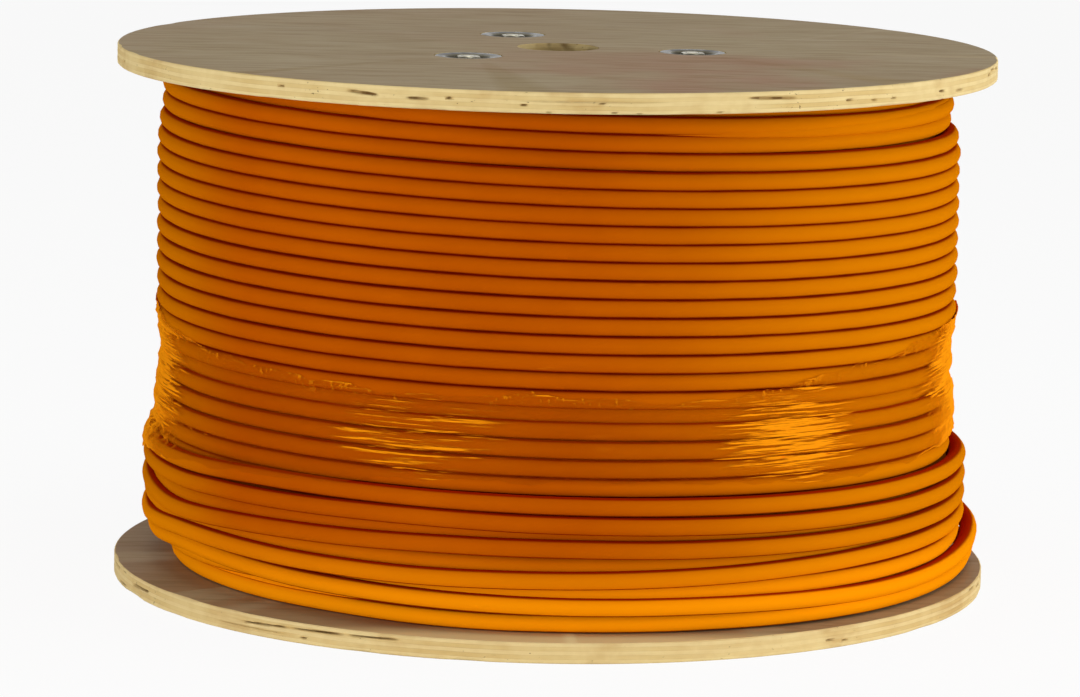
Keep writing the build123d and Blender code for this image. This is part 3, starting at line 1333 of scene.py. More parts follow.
@dataclass(frozen=True)
class LayerSizes:
    """The sizes of a layer of rows, which are the inputs of its tree.

    The layer is one helix from the upper flange down, and turns and rows are counted from there. Angles
    are in radians round the drum, and the sine of an angle is greatest at its right.
    """

    highest_centre: float
    lowest_centre: float
    turns: float = 29.0
    points_round: float = 132.0
    sides: int = 14
    cable_radius: float = 0.004
    layer_radius: float = 0.179
    sideways: float = 0.0015
    first_row_height: float = 0.2324
    row_pitch: float = 0.00793
    looser_from_row: float = 8.0
    looser_by: float = 0.00022
    wide_gap_turn: float = 17.0
    wide_gap: float = 0.0056
    gap_opening: float = 0.07
    head_tilt: float = 0.0012
    tilted_rows: float = 13.0
    step_angle_top: float = math.radians(-15.0)
    step_angle_foot: float = math.radians(75.0)
    step_half_width: float = math.radians(95.0)
    head_height: float = 0.216
    head_blend: float = 0.012
    head_drop: float = 0.0035
    head_lean: float = 0.0014
    foot_height: float = 0.036
    foot_drop: float = 0.02
    tuck_height: float = 0.07
    tucked_height: float = 0.064
    tuck_drop: float = 0.002
    film_height: float = 0.106
    film_reach: float = 0.022
    film_squeeze: float = 0.002
    waviness: float = 0.0012
    seed: float = 4.0


@dataclass(frozen=True)
class LooseTurnSizes:
    """The sizes of one turn of the last layer, which are the inputs of its tree."""

    layer_radius: float = 0.1855
    cable_radius: float = 0.004
    sides: int = 14
    sideways: float = 0.0015
    waviness: float = 0.0005
    seed: float = 20.0


class WindingTree(GeometryTree):
    """A tree that lays cable round the drum, with the slow and the quick wave by which it wanders."""

    slow_scale: float
    quick_scale: float
    quick_share: float

    def sway(self, spot: Socket) -> tuple[Socket, Socket]:
        """Add the two waves, which go about 0.

        Args:
            spot: Where the waves are read.

        Returns:
            Both waves together, and the quick one alone.
        """
        slow = self.math("SUBTRACT", self.noise(spot, self.slow_scale, 2.0), 0.5)
        quick = self.math("SUBTRACT", self.noise(spot, self.quick_scale, 2.0), 0.5)
        return self.math("ADD", slow, self.math("MULTIPLY", quick, self.quick_share)), quick

    def lay_cable(self, line: Socket, given: SimpleNamespace, angle: Socket, radius: Socket,
                  height: Socket) -> None:
        """Move a line's points to their places round the drum, sweep the cable along it and end the tree.

        Args:
            line: The line of points.
            given: The tree's inputs.
            angle: Each point's angle.
            radius: Its distance from the drum's axis.
            height: Its height.
        """
        x = self.math("ADD", self.math("MULTIPLY", radius, self.math("SINE", angle)), given.sideways)
        y = self.math("MULTIPLY", radius, self.math("MULTIPLY", self.math("COSINE", angle), -1.0))
        feeds = {"Geometry": line, "Position": self.vector(x, y, height)}
        placed = self.node("GeometryNodeSetPosition", feeds).outputs[0]
        curve = self.node("GeometryNodeMeshToCurve", {"Mesh": placed}).outputs[0]
        feeds = {"Resolution": given.sides, "Radius": given.cable_radius}
        section = self.node("GeometryNodeCurvePrimitiveCircle", feeds).outputs[0]
        feeds = {"Curve": curve, "Profile Curve": section, "Fill Caps": True}
        self.close(self.node("GeometryNodeCurveToMesh", feeds).outputs[0])


class LayerTree(WindingTree):
    """A layer of rows: one helix whose turns step down mostly at the drum's front.

    The film presses fully within a share of its reach, and the foot's drop is full below a share of its
    height.
    """

    slow_scale = 1.3
    quick_scale = 9.0
    quick_share = 0.25
    full_film_share = 0.4
    full_foot_share = 0.35

    def __init__(self) -> None:
        """Build the tree."""
        super().__init__("cable_layer")
        self.given = self.inputs(LayerSizes)
        count = self.math("ADD", self.math("MULTIPLY", self.given.turns, self.given.points_round), 1.0)
        line = self.node("GeometryNodeMeshLine", {"Count": count}).outputs[0]
        index = self.node("GeometryNodeInputIndex").outputs[0]
        self.wound = self.math("DIVIDE", index, self.given.points_round)
        self.turn = self.math("FLOOR", self.wound)
        part = self.math("SUBTRACT", self.wound, self.turn)
        self.angle = self.math("MULTIPLY", self.math("SUBTRACT", part, 0.5), math.tau)
        free = self._free_height()
        kept_under = self.math("MINIMUM", free, self.given.highest_centre)
        height = self.math("MAXIMUM", kept_under, self.given.lowest_centre)
        spot = self.vector(
            self.math("ADD", self.math("COSINE", self.angle), self.given.seed),
            self.math("SINE", self.angle),
            self.math("MULTIPLY", self.wound, 0.9),
        )
        both, quick = self.sway(spot)
        swayed = self.math("MULTIPLY", self.math("MULTIPLY", both, self.given.waviness), 1.4)
        lowered = self._lowered(height, self._sunk(free))
        radius = self.math("ADD", self.math("SUBTRACT", self.given.layer_radius, lowered), swayed)
        nudge = self.math("MULTIPLY", quick, self.math("MULTIPLY", self.given.waviness, 0.5))
        self.lay_cable(line, self.given, self.angle, radius, self.math("ADD", height, nudge))

    def _free_height(self) -> Socket:
        """Work out each point's height where no flange is in its way.

        Returns:
            The height.
        """
        given = self.given
        step_angle = self.ramp(
            self.wound, 0.0, given.turns, given.step_angle_top, given.step_angle_foot, smooth=False
        )
        step = self.ramp(
            self.angle,
            self.math("SUBTRACT", step_angle, given.step_half_width),
            self.math("ADD", step_angle, given.step_half_width),
        )
        row = self.math("SUBTRACT", self.math("ADD", self.turn, step), 1.0)
        opened = self.ramp(
            self.wound,
            self.math("SUBTRACT", given.wide_gap_turn, given.gap_opening),
            self.math("ADD", given.wide_gap_turn, given.gap_opening),
            0.0,
            given.wide_gap,
        )
        looser = self.math("MAXIMUM", self.math("SUBTRACT", row, given.looser_from_row), 0.0)
        fall = self.math("MULTIPLY_ADD", looser, given.looser_by, opened)
        fall = self.math("MULTIPLY_ADD", row, given.row_pitch, fall)
        tilt = self.ramp(row, 0.0, given.tilted_rows, given.head_tilt, 0.0)
        level = self.math("SUBTRACT", given.first_row_height, fall)
        return self.math("SUBTRACT", level, self.math("MULTIPLY", tilt, self.math("SINE", self.angle)))

    def _sunk(self, free: Socket) -> Socket:
        """Work out how far the first and the last turn sink beside their neighbour, held by a flange.

        Args:
            free: Each point's height where no flange is in its way.

        Returns:
            How far the point lies inside the layer's radius.
        """
        given = self.given
        over = self.math("MAXIMUM", self.math("SUBTRACT", free, given.highest_centre), 0.0)
        under = self.math("MAXIMUM", self.math("SUBTRACT", given.lowest_centre, free), 0.0)
        squeezed = self.math("MINIMUM", self.math("ADD", over, under), given.row_pitch)
        beside = self.math("SUBTRACT", given.row_pitch, squeezed)
        pitch_squared = self.math("MULTIPLY", given.row_pitch, given.row_pitch)
        room = self.math("SUBTRACT", pitch_squared, self.math("MULTIPLY", beside, beside))
        return self.math("SQRT", self.math("MAXIMUM", room, 0.0))

    def _lowered(self, height: Socket, sunk: Socket) -> Socket:
        """Work out how far each point lies inside the layer's radius.

        Args:
            height: The point's height.
            sunk: How far a flange makes it sink.

        Returns:
            That, with the drop at the head and the foot, under the last layer and under the film.
        """
        given = self.given
        head_start = self.math("SUBTRACT", given.head_height, given.head_blend)
        head = self.ramp(height, head_start, given.head_height)
        lean = self.math("MULTIPLY", self.math("SINE", self.angle), given.head_lean)
        dropped = self.math("MULTIPLY", head, self.math("ADD", given.head_drop, lean))
        from_film = self.math("ABSOLUTE", self.math("SUBTRACT", height, given.film_height))
        fully = self.math("MULTIPLY", given.film_reach, self.full_film_share)
        pressed = self.ramp(from_film, given.film_reach, fully, 0.0, given.film_squeeze)
        lowest = self.math("MULTIPLY", given.foot_height, self.full_foot_share)
        foot = self.ramp(height, given.foot_height, lowest, 0.0, given.foot_drop)
        tucked = self.ramp(height, given.tuck_height, given.tucked_height, 0.0, given.tuck_drop)
        lowered = self.math("ADD", self.math("ADD", dropped, pressed), sunk)
        return self.math("ADD", lowered, self.math("ADD", foot, tucked))


class LooseTurnTree(WindingTree):
    """Wraps an unrolled turn round the drum and gives it the cable's section."""

    slow_scale = 3.0
    quick_scale = 11.0
    quick_share = 0.4

    def __init__(self) -> None:
        """Build the tree."""
        super().__init__("loose_turn")
        given = self.inputs(LooseTurnSizes)
        place = self.node("GeometryNodeInputPosition").outputs[0]
        angle, rise, height = self.node("ShaderNodeSeparateXYZ", {0: place}).outputs
        x = self.math("ADD", self.math("COSINE", angle), given.seed)
        both, quick = self.sway(self.vector(x, self.math("SINE", angle), 0.0))
        level = self.math("ADD", height, self.math("MULTIPLY", both, given.waviness))
        radius = self.math("ADD", given.layer_radius, rise)
        radius = self.math("ADD", radius, self.math("MULTIPLY", quick, given.waviness))
        self.lay_cable(self.entry.outputs["Geometry"], given, angle, radius, level)


@dataclass(frozen=True)
class CableWinding:
    """The wound cable: rows of the outer layer, a layer under it, and the turns wound last.

    The layer underneath is a step nearer to the axis, and has fewer points and sides, because little of
    it shows.
    """

    layer_step: float = 0.0066
    under_points_round: float = 72.0
    under_sides: int = 8
    under_seed: float = 9.0
    loose_points: int = 132
    seed_step: float = 3.0
    loose_turns: tuple[LooseTurn, ...] = (*LOOSE_TURNS, GAP_TURN, HEAD_TURN)

    def _layers(self) -> tuple[LayerSizes, LayerSizes]:
        """Work out the sizes of both layers of rows.

        Returns:
            The sizes of the outer layer, and those of the layer under it.
        """
        low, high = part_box("cable_winding")
        inset = LayerSizes.cable_radius
        outer = LayerSizes(highest_centre=high.z - inset, lowest_centre=low.z + inset)
        under = replace(
            outer,
            points_round=self.under_points_round,
            sides=self.under_sides,
            layer_radius=outer.layer_radius - self.layer_step,
            first_row_height=outer.first_row_height + outer.row_pitch / 2,
            wide_gap=0.0,
            seed=self.under_seed,
        )
        return outer, under

    def build(self, finishes: Finishes) -> bpy.types.Object:
        """Build the winding and put it in the place of its plain solid.

        Args:
            finishes: The drum's finishes.

        Returns:
            The wound cable.
        """
        layer = LayerTree()
        outer, under = self._layers()
        meshes = [
            layer.grow("outer_rows", outer, finishes.sheath),
            layer.grow("under_rows", under, finishes.sheath),
        ]
        loose = LooseTurnTree()
        for number, turn in enumerate(self.loose_turns):
            sizes = LooseTurnSizes(seed=LooseTurnSizes.seed + self.seed_step * number)
            unrolled = turn.unrolled(self.loose_points)
            meshes.append(loose.grow(f"loose_turn_{number}", sizes, finishes.sheath, unrolled))
        joined = join_meshes("wound_cable", meshes)
        return place_piece("wound_cable", joined, "cable_sheath", "cable_winding")


@dataclass(frozen=True)
class BoltCircleSizes:
    """Where the fasteners stand, as the inputs of the tree that sets them.

    The first angle is in radians from the X axis. Each fastener is also turned about its own axis, by up
    to its own turn, in radians either way.
    """

    count: int
    circle_radius: float
    first_angle: float
    top_height: float
    bottom_height: float
    both_ends: bool = True
    own_turn: float = 0.0
    seed: int = 3


class BoltCircleTree(GeometryTree):
    """Sets a fastener on every rod, at one end or at both."""

    def __init__(self) -> None:
        """Build the tree."""
        super().__init__("bolt_circle")
        given = self.inputs(BoltCircleSizes)
        number = self.node("GeometryNodeInputIndex").outputs[0]
        share = self.math("DIVIDE", number, given.count)
        angle = self.math("MULTIPLY_ADD", share, math.tau, given.first_angle)
        x = self.math("MULTIPLY", given.circle_radius, self.math("COSINE", angle))
        y = self.math("MULTIPLY", given.circle_radius, self.math("SINE", angle))
        ends = []
        for height, tilt in ((given.top_height, 0.0), (given.bottom_height, math.pi)):
            line = self.node("GeometryNodeMeshLine", {"Count": given.count}).outputs[0]
            feeds = {"Geometry": line, "Position": self.vector(x, y, height)}
            spots = self.node("GeometryNodeSetPosition", feeds).outputs[0]
            salt = self.math("ADD", given.seed, tilt)
            turn = self.node("FunctionNodeRandomValue", {"Seed": salt}, data_type="FLOAT")
            self.feed(turn.inputs[2], self.math("MULTIPLY", given.own_turn, -1.0))
            self.feed(turn.inputs[3], given.own_turn)
            feeds = {
                "Points": spots,
                "Instance": self.entry.outputs["Geometry"],
                "Rotation": self.vector(tilt, 0.0, turn.outputs[1]),
            }
            ends.append(self.node("GeometryNodeInstanceOnPoints", feeds).outputs[0])
        feeds = {"Switch": given.both_ends, "True": ends[1]}
        lower = self.node("GeometryNodeSwitch", feeds, input_type="GEOMETRY").outputs[0]
        joined = self.node("GeometryNodeJoinGeometry", {"Geometry": ends[0]})
        self.feed(joined.inputs["Geometry"], lower)
        self.close(joined.outputs[0])


@dataclass
class Fasteners:
    """Three threaded rods, with a pressed cup washer and a nut at each end of each.

    The nut's chamfer starts at a share of half its width across the flats, and falls by its slope.
    """

    turned_points: int = 60
    rod_radius: float = 0.003
    rod_chamfer: float = 0.0006
    thread_pitch: float = 0.001
    thread_depth: float = 0.0005
    threaded_length: float = 0.014
    nut_flats: float = 0.01
    nut_height: float = 0.005
    nut_chamfer_share: float = 0.97
    nut_chamfer_slope: float = 0.577
    nut_turn: float = 25.0
    mouth_chamfer: float = 0.0004
    thread_clearance: float = 0.0001
    cup_floor: float = 0.0053

    def _turned(self, name: str, outline: Sequence[tuple[float, float, float]],
                closed: bool) -> bpy.types.Mesh:
        """Turn an outline about an upright axis.

        Args:
            name: The mesh's name.
            outline: Each point's radius and height in millimetres, and its painted shine, from painted shade
                at 0 to painted highlight at 1.
            closed: Whether the last point joins the first.

        Returns:
            The mesh.
        """
        work = bmesh.new()
        shine = work.verts.layers.float.new("shine")
        rings = []
        for radius, height, bright in outline:
            ring = point_ring(work, self.turned_points, radius * MM, height * MM)
            for vert in ring:
                vert[shine] = bright
            rings.append(ring)
        bands(work, rings, closed=closed)
        return finish_mesh(work, name)

    def _cup(self) -> bpy.types.Mesh:
        """Build a cup washer with a softly rolled lip, its lip's face at height 0.

        Returns:
            The mesh.
        """
        # The third value is painted shine: painted highlights on the lip's outer edge and at its mouth,
        # painted shade down the inner wall and on the floor
        outline = (
            (3.3, -6.5, 0.4), (9.0, -6.5, 0.4), (9.35, -6.2, 0.4), (10.75, -1.6, 0.4), (11.1, -1.2, 0.4),
            (14.7, -1.2, 0.1), (15.0, -0.9, 0.12), (15.0, -0.5, 0.18), (14.85, -0.2, 0.3),
            (14.5, -0.04, 0.25), (14.1, 0.0, 0.12), (13.7, -0.04, 0.06), (12.6, -0.14, 0.04),
            (11.4, -0.3, 0.06), (10.6, -0.6, 0.4), (10.1, -1.1, 0.15), (8.6, -4.7, 0.0),
            (8.35, -5.1, 0.0), (7.9, -5.28, 0.0), (7.2, -5.3, 0.1), (3.3, -5.3, 0.1),
        )
        return self._turned("cup_washer", outline, closed=True)

    def _rod(self) -> bpy.types.Mesh:
        """Build a rod whose ends are threaded, between the heights of the first rod's box.

        Returns:
            The mesh.
        """
        low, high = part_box("tie_rod_1")
        radius = self.rod_radius / MM
        chamfer = self.rod_chamfer / MM
        valley = radius - self.thread_depth / MM
        pitch = self.thread_pitch / MM
        turns = int(self.threaded_length / self.thread_pitch)
        # The third value is painted shine: a painted highlight on the rod's end, painted shade in the
        # thread's valleys
        end = [(0.0, 0.0, 1.0), (radius - chamfer, 0.0, 1.0)]
        for turn in range(turns):
            end.append((radius, chamfer + turn * pitch, 0.5))
            end.append((valley, chamfer + (turn + 0.5) * pitch, 0.2))
        end.append((radius, chamfer + turns * pitch, 0.5))
        bottom, top = low.z / MM, high.z / MM
        outline = [(r, bottom + z, bright) for r, z, bright in end]
        outline += [(r, top - z, bright) for r, z, bright in reversed(end)]
        return self._turned("threaded_rod", outline, closed=False)

    def _nut(self) -> bpy.types.Mesh:
        """Build a hexagon nut with chamfered corners, seated at the depth of a cup's floor.

        Returns:
            The mesh.
        """
        work = bmesh.new()
        shine = work.verts.layers.float.new("shine")
        flat = self.nut_flats / 2
        seat = -self.cup_floor
        face = seat + self.nut_height
        chamfer = flat * self.nut_chamfer_share
        mouth = self.rod_radius + self.mouth_chamfer
        thread = self.rod_radius + self.thread_clearance
        corner_rings = ([], [])
        for i in range(self.turned_points):
            angle = math.tau * i / self.turned_points
            radius = flat / math.cos((angle + math.pi / 6) % (math.pi / 3) - math.pi / 6)
            drop = (radius - chamfer) * self.nut_chamfer_slope
            for ring, height in zip(corner_rings, (seat + drop, face - drop)):
                ring.append(work.verts.new((radius * math.cos(angle), radius * math.sin(angle), height)))
        rings = [
            point_ring(work, self.turned_points, chamfer, seat),
            *corner_rings,
            point_ring(work, self.turned_points, chamfer, face),
            point_ring(work, self.turned_points, mouth, face),
            point_ring(work, self.turned_points, thread, face - self.mouth_chamfer),
            point_ring(work, self.turned_points, thread, seat + self.mouth_chamfer),
            point_ring(work, self.turned_points, mouth, seat),
        ]
        # Painted shine by ring: a painted highlight on the nut's upper chamfer, painted shade low on its
        # sides, on its seat and in its bore
        for ring, bright in zip(rings, (0.1, 0.1, 0.5, 1.0, 0.6, 0.2, 0.1, 0.1)):
            for vert in ring:
                vert[shine] = bright
        bands(work, rings, closed=True)
        return finish_mesh(work, "nut", sharp_from=25.0)

    def build(self, finishes: Finishes) -> None:
        """Build the fasteners and put them in the place of their plain solids.

        Args:
            finishes: The drum's finishes.
        """
        tree = BoltCircleTree()
        first = Vector(rod_centre(ROD_NUMBERS[0]))
        sizes = BoltCircleSizes(
            count=len(ROD_NUMBERS),
            circle_radius=first.length,
            first_angle=math.atan2(first.y, first.x),
            top_height=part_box("flange_top")[1].z,
            bottom_height=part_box("flange_bottom")[0].z,
        )
        nut_sizes = replace(sizes, own_turn=math.radians(self.nut_turn))
        rod_sizes = replace(sizes, both_ends=False, top_height=0.0)
        ends = [f"{side.word}_{number}" for side in Side for number in ROD_NUMBERS]
        cups = tree.grow("cup_washers", sizes, finishes.zinc, self._cup())
        place_piece("cup_washers", cups, "zinc_steel", *[f"cup_washer_{end}" for end in ends])
        nuts = tree.grow("hexagon_nuts", nut_sizes, finishes.zinc, self._nut())
        place_piece("hexagon_nuts", nuts, "zinc_steel", *[f"nut_{end}" for end in ends])
        rods = tree.grow("threaded_rods", rod_sizes, finishes.zinc, self._rod())
        place_piece("threaded_rods", rods, "zinc_steel", *[f"tie_rod_{number}" for number in ROD_NUMBERS])


@dataclass(frozen=True)
class GlarePatch:
    """A patch of painted glare on the film; its heights are in millimetres."""

    angle: float
    half_width: float
    height: float
    half_height: float
    strength: float

    def share_at(self, angle: float, height: float) -> float:
        """Return how far this patch of painted glare reaches a place.

        Args:
            angle: The place's angle.
            height: Its height in metres.

        Returns:
            The share, which is 0 outside the patch.
        """
        aside = turn_between(self.angle, angle) / self.half_width
        above = (height / MM - self.height) / self.half_height
        return self.strength * max(0.0, 1.0 - aside * aside - above * above)


@dataclass
class StretchFilm:
    """Clear film stretched round the middle rows and creased; its roped upper edge is not built, only marked
    for painted glints.

    The edges are heights in millimetres by angle round the drum. The film is laid on the cable by rays
    that start outside the drum, and where a ray meets nothing it keeps the least radius. It spans the
    cable's crests within its span of columns and its reach of rows.
    """

    top_edge: tuple[tuple[float, float], ...] = (
        (-170, 122.0), (-120, 128.0), (-88, 126.0), (-70, 120.0), (-45, 114.0), (-20, 110.0), (0, 112.0),
        (20, 109.0), (45, 118.0), (74, 127.0), (100, 130.0), (140, 125.0),
    )
    bottom_edge: tuple[tuple[float, float], ...] = (
        (-170, 66.0), (-120, 64.0), (-88, 58.0), (-74, 62.0), (-36, 69.0), (-15, 74.0), (10, 75.0),
        (45, 71.0), (83, 74.0), (120, 72.0),
    )
    # Patches of painted highlight on the film, at its front, sides and back
    bunches: tuple[GlarePatch, ...] = (
        GlarePatch(-19.0, 16.0, 90.0, 27.0, 0.7), GlarePatch(35.0, 16.0, 92.0, 30.0, 0.95),
        GlarePatch(-90.0, 30.0, 95.0, 46.0, 1.3), GlarePatch(92.0, 34.0, 106.0, 36.0, 1.3),
        GlarePatch(150.0, 20.0, 92.0, 24.0, 0.8), GlarePatch(-145.0, 16.0, 90.0, 24.0, 0.8),
    )
    columns: int = 420
    rows: int = 44
    thickness: float = 0.00018
    clearance: float = 0.0003
    sag: float = 0.3
    crease: float = 0.0007
    fold_scale_round: float = 3.0
    fold_scale_up: float = 160.0
    small_fold_scale: float = 2.6
    ragged: float = 0.0022
    ragged_scale: float = 9.0
    edging_fade: float = 6.0
    span: int = 2
    reach: int = 3
    outside: float = 0.21
    ray_length: float = 0.06
    least_radius: float = 0.175

    def _heights(self) -> list[list[float]]:
        """Work out the film's torn edges and share out its rows between them.

        Returns:
            The height of each row, for each column.
        """
        heights = []
        for column in range(self.columns):
            angle = 360.0 * column / self.columns - 180.0
            turned = math.radians(angle)
            spot = Vector((math.cos(turned), math.sin(turned), 0.0)) * self.ragged_scale
            torn = noise.noise(spot) + 0.5 * noise.noise(spot * 4.0)
            top = value_round(self.top_edge, angle)[0] * MM + self.ragged * torn
            foot = value_round(self.bottom_edge, angle)[0] * MM - self.ragged * torn
            heights.append([foot + (top - foot) * row / self.rows for row in range(self.rows + 1)])
        return heights

    def _crests(self, cable: bpy.types.Object, heights: list[list[float]]) -> list[list[float]]:
        """Measure how far the cable stands out under every place of the film.

        Args:
            cable: The wound cable.
            heights: The height of each row, for each column.

        Returns:
            The radius of the cable's surface at each row of each column.
        """
        tree = BVHTree.FromPolygons(
            [vert.co for vert in cable.data.vertices], [face.vertices for face in cable.data.polygons]
        )
        radii = []
        for column, column_heights in enumerate(heights):
            turned = math.tau * column / self.columns - math.pi
            out = Vector(place_round(1.0, turned))
            found = []
            for height in column_heights:
                start = out * self.outside + Vector((0.0, 0.0, height))
                spot = tree.ray_cast(start, -out, self.ray_length)[0]
                found.append(spot.xy.length if spot else self.least_radius)
            radii.append(found)
        return radii

    def _radius(self, crests: list[list[float]], column: int, row: int, height: float) -> float:
        """Work out the film's radius at a place: over the crests near it, sunk a little and creased.

        Args:
            crests: The radius of the cable at each row of each column.
            column: The place's column.
            row: Its row.
            height: Its height.

        Returns:
            The radius.
        """
        near = []
        for aside in range(-self.span, self.span + 1):
            other = crests[(column + aside) % self.columns]
            near += other[max(0, row - self.reach):row + self.reach + 1]
        crest = max(near)
        own = crests[column][row]
        turned = math.tau * column / self.columns
        scale = self.fold_scale_round
        spot = Vector((math.cos(turned) * scale, math.sin(turned) * scale, height * self.fold_scale_up))
        fold = abs(noise.noise(spot))
        small = abs(noise.noise(spot * self.small_fold_scale))
        raised = self.crease * ((1.0 - fold) ** 3 + 0.5 * (1.0 - small) ** 4)
        return crest - self.sag * (crest - own) + self.clearance + raised

    def _skin(self, work: bmesh.types.BMesh, heights: list[list[float]], crests: list[list[float]],
              inset: float) -> list[Ring]:
        """Add the rings of one side of the film.

        Args:
            work: The film's mesh.
            heights: The height of each row, for each column.
            crests: The radius of the cable at each row of each column.
            inset: How far this side lies inside the outer one.

        Returns:
            The rings, from the lowest to the highest.
        """
        bunched = work.verts.layers.float["bunched"]
        edging = work.verts.layers.float["edging"]
        skin = []
        for row in range(self.rows + 1):
            ring = []
            for column, column_heights in enumerate(heights):
                height = column_heights[row]
                radius = self._radius(crests, column, row, height) - inset
                turned = math.tau * column / self.columns - math.pi
                vert = work.verts.new(place_round(radius, turned, height))
                shares = [glare_patch.share_at(math.degrees(turned), height) for glare_patch in self.bunches]
                vert[bunched] = min(1.0, max(shares))
                vert[edging] = max(0.0, 1.0 - self.edging_fade * (self.rows - row) / self.rows)
                ring.append(vert)
            skin.append(ring)
        return skin

    def build(self, finishes: Finishes, cable: bpy.types.Object) -> None:
        """Build the film on the wound cable and put it in the place of its plain solid.

        Args:
            finishes: The drum's finishes.
            cable: The wound cable that it is stretched round.
        """
        heights = self._heights()
        crests = self._crests(cable, heights)
        work = bmesh.new()
        for mark in ("bunched", "edging"):
            work.verts.layers.float.new(mark)
        outer = self._skin(work, heights, crests, 0.0)
        inner = self._skin(work, heights, crests, self.thickness)
        bands(work, [*outer, *reversed(inner)], closed=True)
        mesh = finish_mesh(work, "film_wrap", sharp_from=80.0)
        mesh.materials.append(finishes.film)
        film = place_piece("film_wrap", mesh, "clear_film", "stretch_film")


@dataclass(frozen=True)
class Lamp:
    """A soft lamp that looks at the drum's axis, with its angle round the drum and its power in watts."""

    name: str
    angle: float
    height: float
    distance: float
    size: tuple[float, float]
    power: float
    aim: float = 0.12

    def place(self) -> None:
        """Add the lamp to the scene."""
        data = bpy.data.lights.new(self.name, "AREA")
        data.shape = "RECTANGLE"
        data.size, data.size_y = self.size
        data.energy = self.power
        lamp = bpy.data.objects.new(self.name, data)
        lamp.location = place_round(self.distance, math.radians(self.angle), self.height)
        towards = Vector((0.0, 0.0, self.aim)) - lamp.location
        lamp.rotation_euler = towards.to_track_quat("-Z", "Y").to_euler()
        lamp.visible_camera = False
        bpy.context.scene.collection.objects.link(lamp)


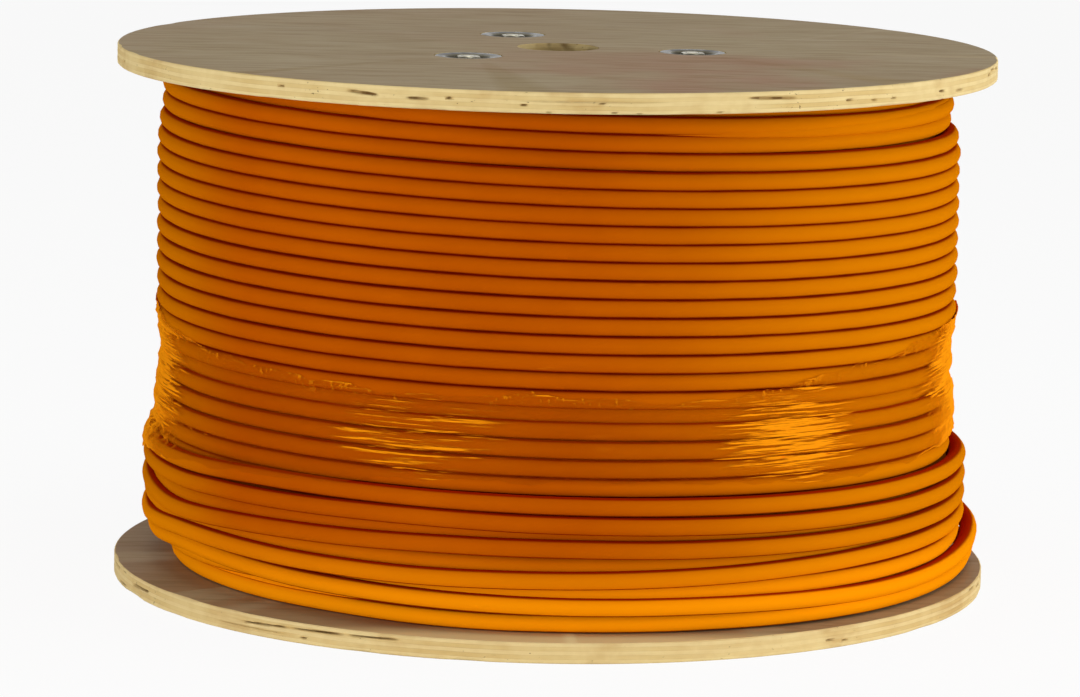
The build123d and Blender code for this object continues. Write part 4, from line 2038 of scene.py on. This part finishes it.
@dataclass
class Studio:
    """The camera, the lamps, the floor and the white surroundings.

    The camera's angles are in radians, and its lens and sensor are in millimetres.
    """

    camera_place: tuple[float, float, float] = (0.0, -2.2677, 0.458)
    camera_pitch: float = 0.1549
    camera_yaw: float = -0.0024
    camera_roll: float = 0.0199
    lens: float = 166.4
    sensor: float = 36.0
    ambient: float = 0.24
    white: Colour = (1.0, 1.0, 1.0, 1.0)
    floor_colour: Colour = shade(244, 244, 242)
    floor_whiteness: float = 0.92
    floor_reach: float = 12.0
    lamps: tuple[Lamp, ...] = (
        Lamp("right_softbox", angle=84.0, height=0.4, distance=1.8, size=(1.4, 0.8), power=19.8),
        Lamp("left_softbox", angle=-68.0, height=0.4, distance=1.9, size=(1.3, 0.8), power=12.0),
        Lamp("overhead", angle=20.0, height=1.9, distance=0.5, size=(1.4, 1.4), power=10.0),
        Lamp("low_front", angle=0.0, height=0.07, distance=1.6, size=(2.2, 0.1), power=11.6, aim=0.015),
    )

    def camera(self) -> None:
        """Set the camera at the photograph's viewing angle."""
        ahead = Vector((
            math.sin(self.camera_yaw) * math.cos(self.camera_pitch),
            math.cos(self.camera_yaw) * math.cos(self.camera_pitch),
            -math.sin(self.camera_pitch),
        ))
        level = Vector((math.cos(self.camera_yaw), -math.sin(self.camera_yaw), 0.0))
        upright = level.cross(ahead)
        right = level * math.cos(self.camera_roll) + upright * math.sin(self.camera_roll)
        up = upright * math.cos(self.camera_roll) - level * math.sin(self.camera_roll)
        data = bpy.data.cameras.new("camera")
        data.lens = self.lens
        data.sensor_width = self.sensor
        data.clip_end = 50.0
        camera = bpy.data.objects.new("camera", data)
        camera.matrix_world = Matrix((right, up, -ahead)).transposed().to_4x4()
        camera.location = self.camera_place
        bpy.context.scene.collection.objects.link(camera)
        bpy.context.scene.camera = camera

    @staticmethod
    def _seen_directly(tree: NodeTree) -> Socket:
        """Find the rays that come from the camera, off metal or through glass.

        Args:
            tree: The material's or the world's tree.

        Returns:
            1 for those rays, and 0 for the light that falls on the drum.
        """
        path = tree.node("ShaderNodeLightPath")
        seen = tree.math("MAXIMUM", path.outputs["Is Camera Ray"], path.outputs["Is Glossy Ray"])
        return tree.math("MAXIMUM", seen, path.outputs["Is Transmission Ray"])

    def surroundings(self) -> None:
        """Make the world white to the camera, and dimmer as a light on the drum."""
        world = bpy.data.worlds.new("studio")
        bpy.context.scene.world = world
        world.use_nodes = True
        tree = NodeTree(world.node_tree)
        background = world.node_tree.nodes["Background"]
        tree.feed(background.inputs["Color"], self.white)
        strength = tree.ramp(self._seen_directly(tree), 0.0, 1.0, self.ambient, 1.0, smooth=False)
        tree.feed(background.inputs["Strength"], strength)

    def floor(self) -> None:
        """Lay a plain pale floor that keeps a faint shadow of the drum."""
        material = bpy.data.materials.new("pale_floor")
        material.use_nodes = True
        tree = NodeTree(material.node_tree)
        plain = tree.node("ShaderNodeBsdfDiffuse", {"Color": self.floor_colour})
        white = tree.node("ShaderNodeEmission", {"Color": self.white, "Strength": 1.0})
        share = tree.math("MULTIPLY", self._seen_directly(tree), self.floor_whiteness)
        mixed = tree.node("ShaderNodeMixShader", {0: share, 1: plain.outputs[0], 2: white.outputs[0]})
        output = material.node_tree.nodes["Material Output"]
        tree.feed(output.inputs["Surface"], mixed.outputs[0])
        reach = self.floor_reach
        mesh = bpy.data.meshes.new("floor")
        corners = [(-reach, -reach, 0.0), (reach, -reach, 0.0), (reach, reach, 0.0), (-reach, reach, 0.0)]
        mesh.from_pydata(corners, [], [(0, 1, 2, 3)])
        mesh.materials.append(material)
        floor = bpy.data.objects.new("floor", mesh)
        bpy.context.scene.collection.objects.link(floor)

    def build(self) -> None:
        """Set up everything around the drum."""
        self.camera()
        self.surroundings()
        self.floor()
        for lamp in self.lamps:
            lamp.place()
        bpy.context.scene.view_settings.view_transform = "Standard"


def main() -> None:
    """Build the drum's pieces in order."""
    logging.basicConfig(level=logging.INFO, format="%(name)s: %(message)s")
    Studio().build()
    finishes = Finishes.build()
    Flange(Side.TOP, TOP_FLAWS, seed=11).build(finishes)
    Flange(Side.BOTTOM, BOTTOM_FLAWS, seed=23).build(finishes)
    BarrelTube().build(finishes)
    Fasteners().build(finishes)
    cable = CableWinding().build(finishes)
    StretchFilm().build(finishes, cable)


if __name__ == "__main__":
    main()
